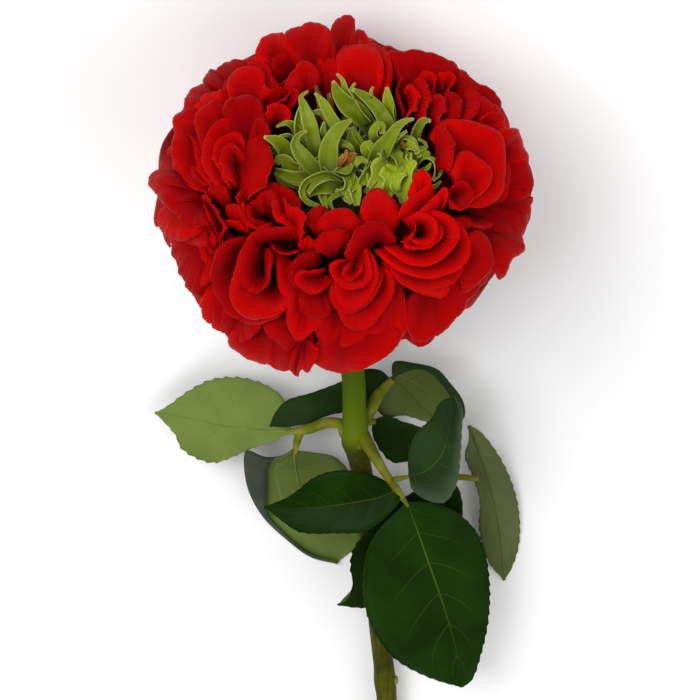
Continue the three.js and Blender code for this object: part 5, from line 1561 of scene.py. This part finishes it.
def bladeLane(leaflet, net, q):
    # one line along the leaflet, q from -1 to 1 between its margins
    s, rib, face = net["s"], net["rib"], net["face"]
    edge = 0 if q < 0 else 1
    margin, share = net["margins"][edge], abs(q)
    width = np.linalg.norm(margin - rib, axis=1)
    along = unit(np.gradient(rib, axis=0))
    side = unit(np.cross(along, face))
    side = side * np.sign(((margin - rib) * side).sum())
    phase = (s - blade["slant"] * share ** blade["bend"]) * blade["veins"]
    puff = blade["puff"] * (0.5 - 0.5 * np.cos(fullTurn * phase)) * math.sin(math.pi * share)
    puff = puff * np.clip(width / 8, 0, 1)
    wave = blade["wave"] * share ** 2 * np.sin(9 * s + 3 * q + leaflet["bow"])
    tooth = np.zeros(len(s))
    if share == 1 and not ("flap" in leaflet and leaflet["flap"][0] == edge):
        tooth = (np.arange(len(s)) % blade["perTooth"] / blade["perTooth"]) ** 1.3
        tooth = tooth * leaflet["cut"] * np.clip(width / 5, 0, 1)
    out = share * np.clip(blade["tipWidth"] - width, 0, 1) + blade["toothHeight"] * tooth
    line = rib + (margin - rib) * share + side * out[:, None] + face * (puff + wave)[:, None]
    return line + along * (blade["lean"] * tooth * (1 - s))[:, None]


def bladeGrid(leaflet, net):
    lanes = [bladeLane(leaflet, net, q) for q in np.linspace(-1, 1, blade["lanes"])]
    if net["flap"] is not None:
        # the margin folds back over the blade
        edge, stand = leaflet["flap"][:2]
        fold = lanes[0 if edge == 0 else -1]
        extra = []
        for w in blade["flapLanes"]:
            hump = stand * (1 - (1 - w) ** 2 - w ** 2)
            extra.append(fold + (net["flap"] - fold) * w ** 2 + net["over"] * hump)
        lanes = extra[::-1] + lanes if edge == 0 else lanes + extra
    grid = np.stack(lanes)
    grid[..., 2] = np.maximum(grid[..., 2], blade["clear"])
    tone = np.full(len(lanes), leaflet["shade"])
    if "glare" in leaflet:
        side, more = leaflet["glare"]
        tone = tone + more * ease(np.linspace(-2, 1, len(lanes)) if side else np.linspace(1, -2, len(lanes)))
    return grid, tone[:, None] + leaflet.get("paler", 0) * net["s"]


def bladeVeins(net):
    # midrib and side veins that stand under the leaflet
    s, face = net["s"], net["face"]
    lines = [(net["rib"][:-2] - face * blade["ribDrop"], blade["midrib"] * (1 - 0.75 * s[:-2]))]
    for pair in range(1, blade["veins"]):
        for margin in net["margins"]:
            share = np.linspace(*blade["veinSpan"], blade["veinPoints"])
            at = pair / blade["veins"] + blade["slant"] * share ** blade["bend"]
            share, at = share[at < 0.96], at[at < 0.96]
            if len(share) < 4:
                continue
            start, stop = (
                np.stack([np.interp(at, s, line[:, k]) for k in range(3)], -1)
                for line in (net["rib"], margin))
            line = start + (stop - start) * share[:, None] - face * blade["veinDrop"]
            lines.append((line, blade["sideVein"] * (1 - 0.6 * share)))
    return lines


def leafVeinGroup():
    # midrib and side veins on the leaflet's own UV map
    group, given, out = beginGroup(
        "leafVeins", {"Pairs": blade["veins"], "Slant": blade["slant"]}, ("Side veins", "Midrib"))
    across, along = uvParts(group)
    q = fromMiddle(group, across)
    slanted = mathNode(group, "MULTIPLY", mathNode(group, "POWER", q, blade["bend"]), given["Slant"])
    phase = mathNode(group, "MULTIPLY", mathNode(group, "SUBTRACT", along, slanted), given["Pairs"])
    beat = mathNode(group, "ABSOLUTE", mathNode(group, "SUBTRACT", mathNode(group, "FRACT", phase), 0.5))
    inner = mapRange(group, q, 0.3, 0.85, 1.0, 0.0)
    group.links.new(mathNode(group, "MULTIPLY", mapRange(group, beat, 0.47, 0.5), inner), out["Side veins"])
    fade = mapRange(group, along, 0.0, 0.9, 1.0, 0.15)
    thin = mapRange(group, q, 0.008, 0.02, 1.0, 0.0)
    group.links.new(mathNode(group, "MULTIPLY", thin, fade), out["Midrib"])
    return group


leafVeins = leafVeinGroup()


def leafSkin(name, leaf):
    material, tree, shader = newMaterial(name)
    grain = placeGroup(tree, plantGrain, {"Blotch scale": 70.0, "Grain scale": 1500.0})
    veins = placeGroup(tree, leafVeins, {})
    side = readAttribute(tree, "side")
    tone = readAttribute(tree, "tone")
    blotch = mapRange(tree, grain["Blotch"], 0.3, 0.7)
    top, low = (
        mixColours(tree, blotch, *[tint(leaf[face], share) for share in leafLook[face]])
        for face in ("upper", "under"))
    veinColour = mixColours(tree, side, tint(leaf["under"], leafLook["underVein"]), tint(leaf["vein"], 1.0))
    sideVeins = mathNode(tree, "MULTIPLY", veins["Side veins"], leafLook["sideShare"])
    lines = mathNode(tree, "MAXIMUM", sideVeins, veins["Midrib"])
    colour = mixColours(tree, lines, mixColours(tree, side, low, top), veinColour)
    shade = addNode(tree, "ShaderNodeVectorMath", operation="SCALE")
    tree.links.new(colour, shade.inputs[0])
    tree.links.new(tone, shade.inputs["Scale"])
    colour = mixColours(tree, mapRange(tree, tone, 1.0, 2.0), shade.outputs[0], leafLook["glare"])
    tree.links.new(colour, shader.inputs["Base Color"])
    tree.links.new(mixColours(tree, side, leafLook["matt"], leafLook["satin"]), shader.inputs["Roughness"])
    shader.inputs["Specular IOR Level"].default_value = leafLook["specular"]
    addBump(tree, shader, weighed(tree, grain["Grain"], 0.2, lines, -0.8), 0.4, 0.00025)
    return material


def leafPieces(name, leaf):
    shell = newShell()
    veins = []
    for leaflet in leaf["blades"]:
        net = bladeNet(leaflet)
        grid, tone = bladeGrid(leaflet, net)
        addSheet(shell, grid, blade["thick"], tone, leaflet["up"])
        veins += bladeVeins(net)
    body = makePiece(name + "_blades", shell, leafSkin(name + "_skin", leaf))
    green = greenSkin(name + "_ribs", *[tint(leaf["under"], share) for share in leafLook["rib"]])
    ribs = growMesh(
        lineObject(name + "_veins", veins), tubes, {"Sides": blade["ribSides"], "Material": green})
    span = blade["stalkSpan"]
    lines = [(smoothLine(seenPath(path), span), smoothWidths(width, span)) for path, width in leaf["stalks"]]
    skin = greenSkin(name + "_stalk", *leafLook["stalk"])
    stalks = growMesh(
        lineObject(name + "_stalks", lines), tubes, {"Sides": blade["stalkSides"], "Material": skin})
    return body, ribs, stalks


for name, leaf in leaves.items():
    handOver(leafPieces(name, leaf), name)


studio = {
    "sensor": 36, "near": 0.01, "far": 20, "sky": 0.42, "aim": (0, -0.04, 0.03),
    "floor": 3, "floorShades": (0.86, 0.9), "floorScale": 6.0, "floorRoughness": 0.8,
    "lamps": {  # place, size and power
        "key": ((-0.35, 0.35, 0.75), 0.55, 6.2), "fill": ((0.55, -0.15, 0.6), 0.7, 2.5),
        "low": ((-0.1, -0.7, 0.45), 0.6, 1.4),
    },
}


def setCamera():
    right, up, toward, place = viewAxes()
    camera = addObject("camera", bpy.data.cameras.new("camera"))
    turned = Matrix(np.stack([right, up, toward], -1).tolist()).to_4x4()
    camera.matrix_world = Matrix.Translation(Vector(place * mm)) @ turned
    camera.data.sensor_width = studio["sensor"]
    camera.data.lens = view["zoom"] * view["away"] / view["picture"] * studio["sensor"]
    camera.data.clip_start = studio["near"]
    camera.data.clip_end = studio["far"]
    bpy.context.scene.camera = camera


def setLight():
    world = bpy.data.worlds.new("studio")
    bpy.context.scene.world = world
    world.use_nodes = True
    sky = world.node_tree.nodes["Background"].inputs
    sky["Color"].default_value = (1, 1, 1, 1)
    sky["Strength"].default_value = studio["sky"]
    for name, (place, size, power) in studio["lamps"].items():
        light = bpy.data.lights.new(name, "AREA")
        light.size = size
        light.energy = power
        holder = addObject(name, light)
        holder.location = place
        aim = Vector(studio["aim"]) - Vector(place)
        holder.rotation_euler = aim.to_track_quat("-Z", "Y").to_euler()
    bpy.context.scene.view_settings.view_transform = "Standard"


def layFloor():
    w = studio["floor"]
    mesh = bpy.data.meshes.new("floor")
    mesh.from_pydata([(-w, -w, 0), (w, -w, 0), (w, w, 0), (-w, w, 0)], [], [(0, 1, 2, 3)])
    floor = addObject("floor", mesh)
    material, tree, shader = newMaterial("paleFloor")
    noise = noiseOf(tree, objectPlace(tree), studio["floorScale"])
    dark, light = (tint((shade,) * 3, 1) for shade in studio["floorShades"])
    tree.links.new(mixColours(tree, noise, dark, light), shader.inputs["Base Color"])
    shader.inputs["Roughness"].default_value = studio["floorRoughness"]
    mesh.materials.append(material)


setCamera()
setLight()
layFloor()
print("camera, light and floor set")
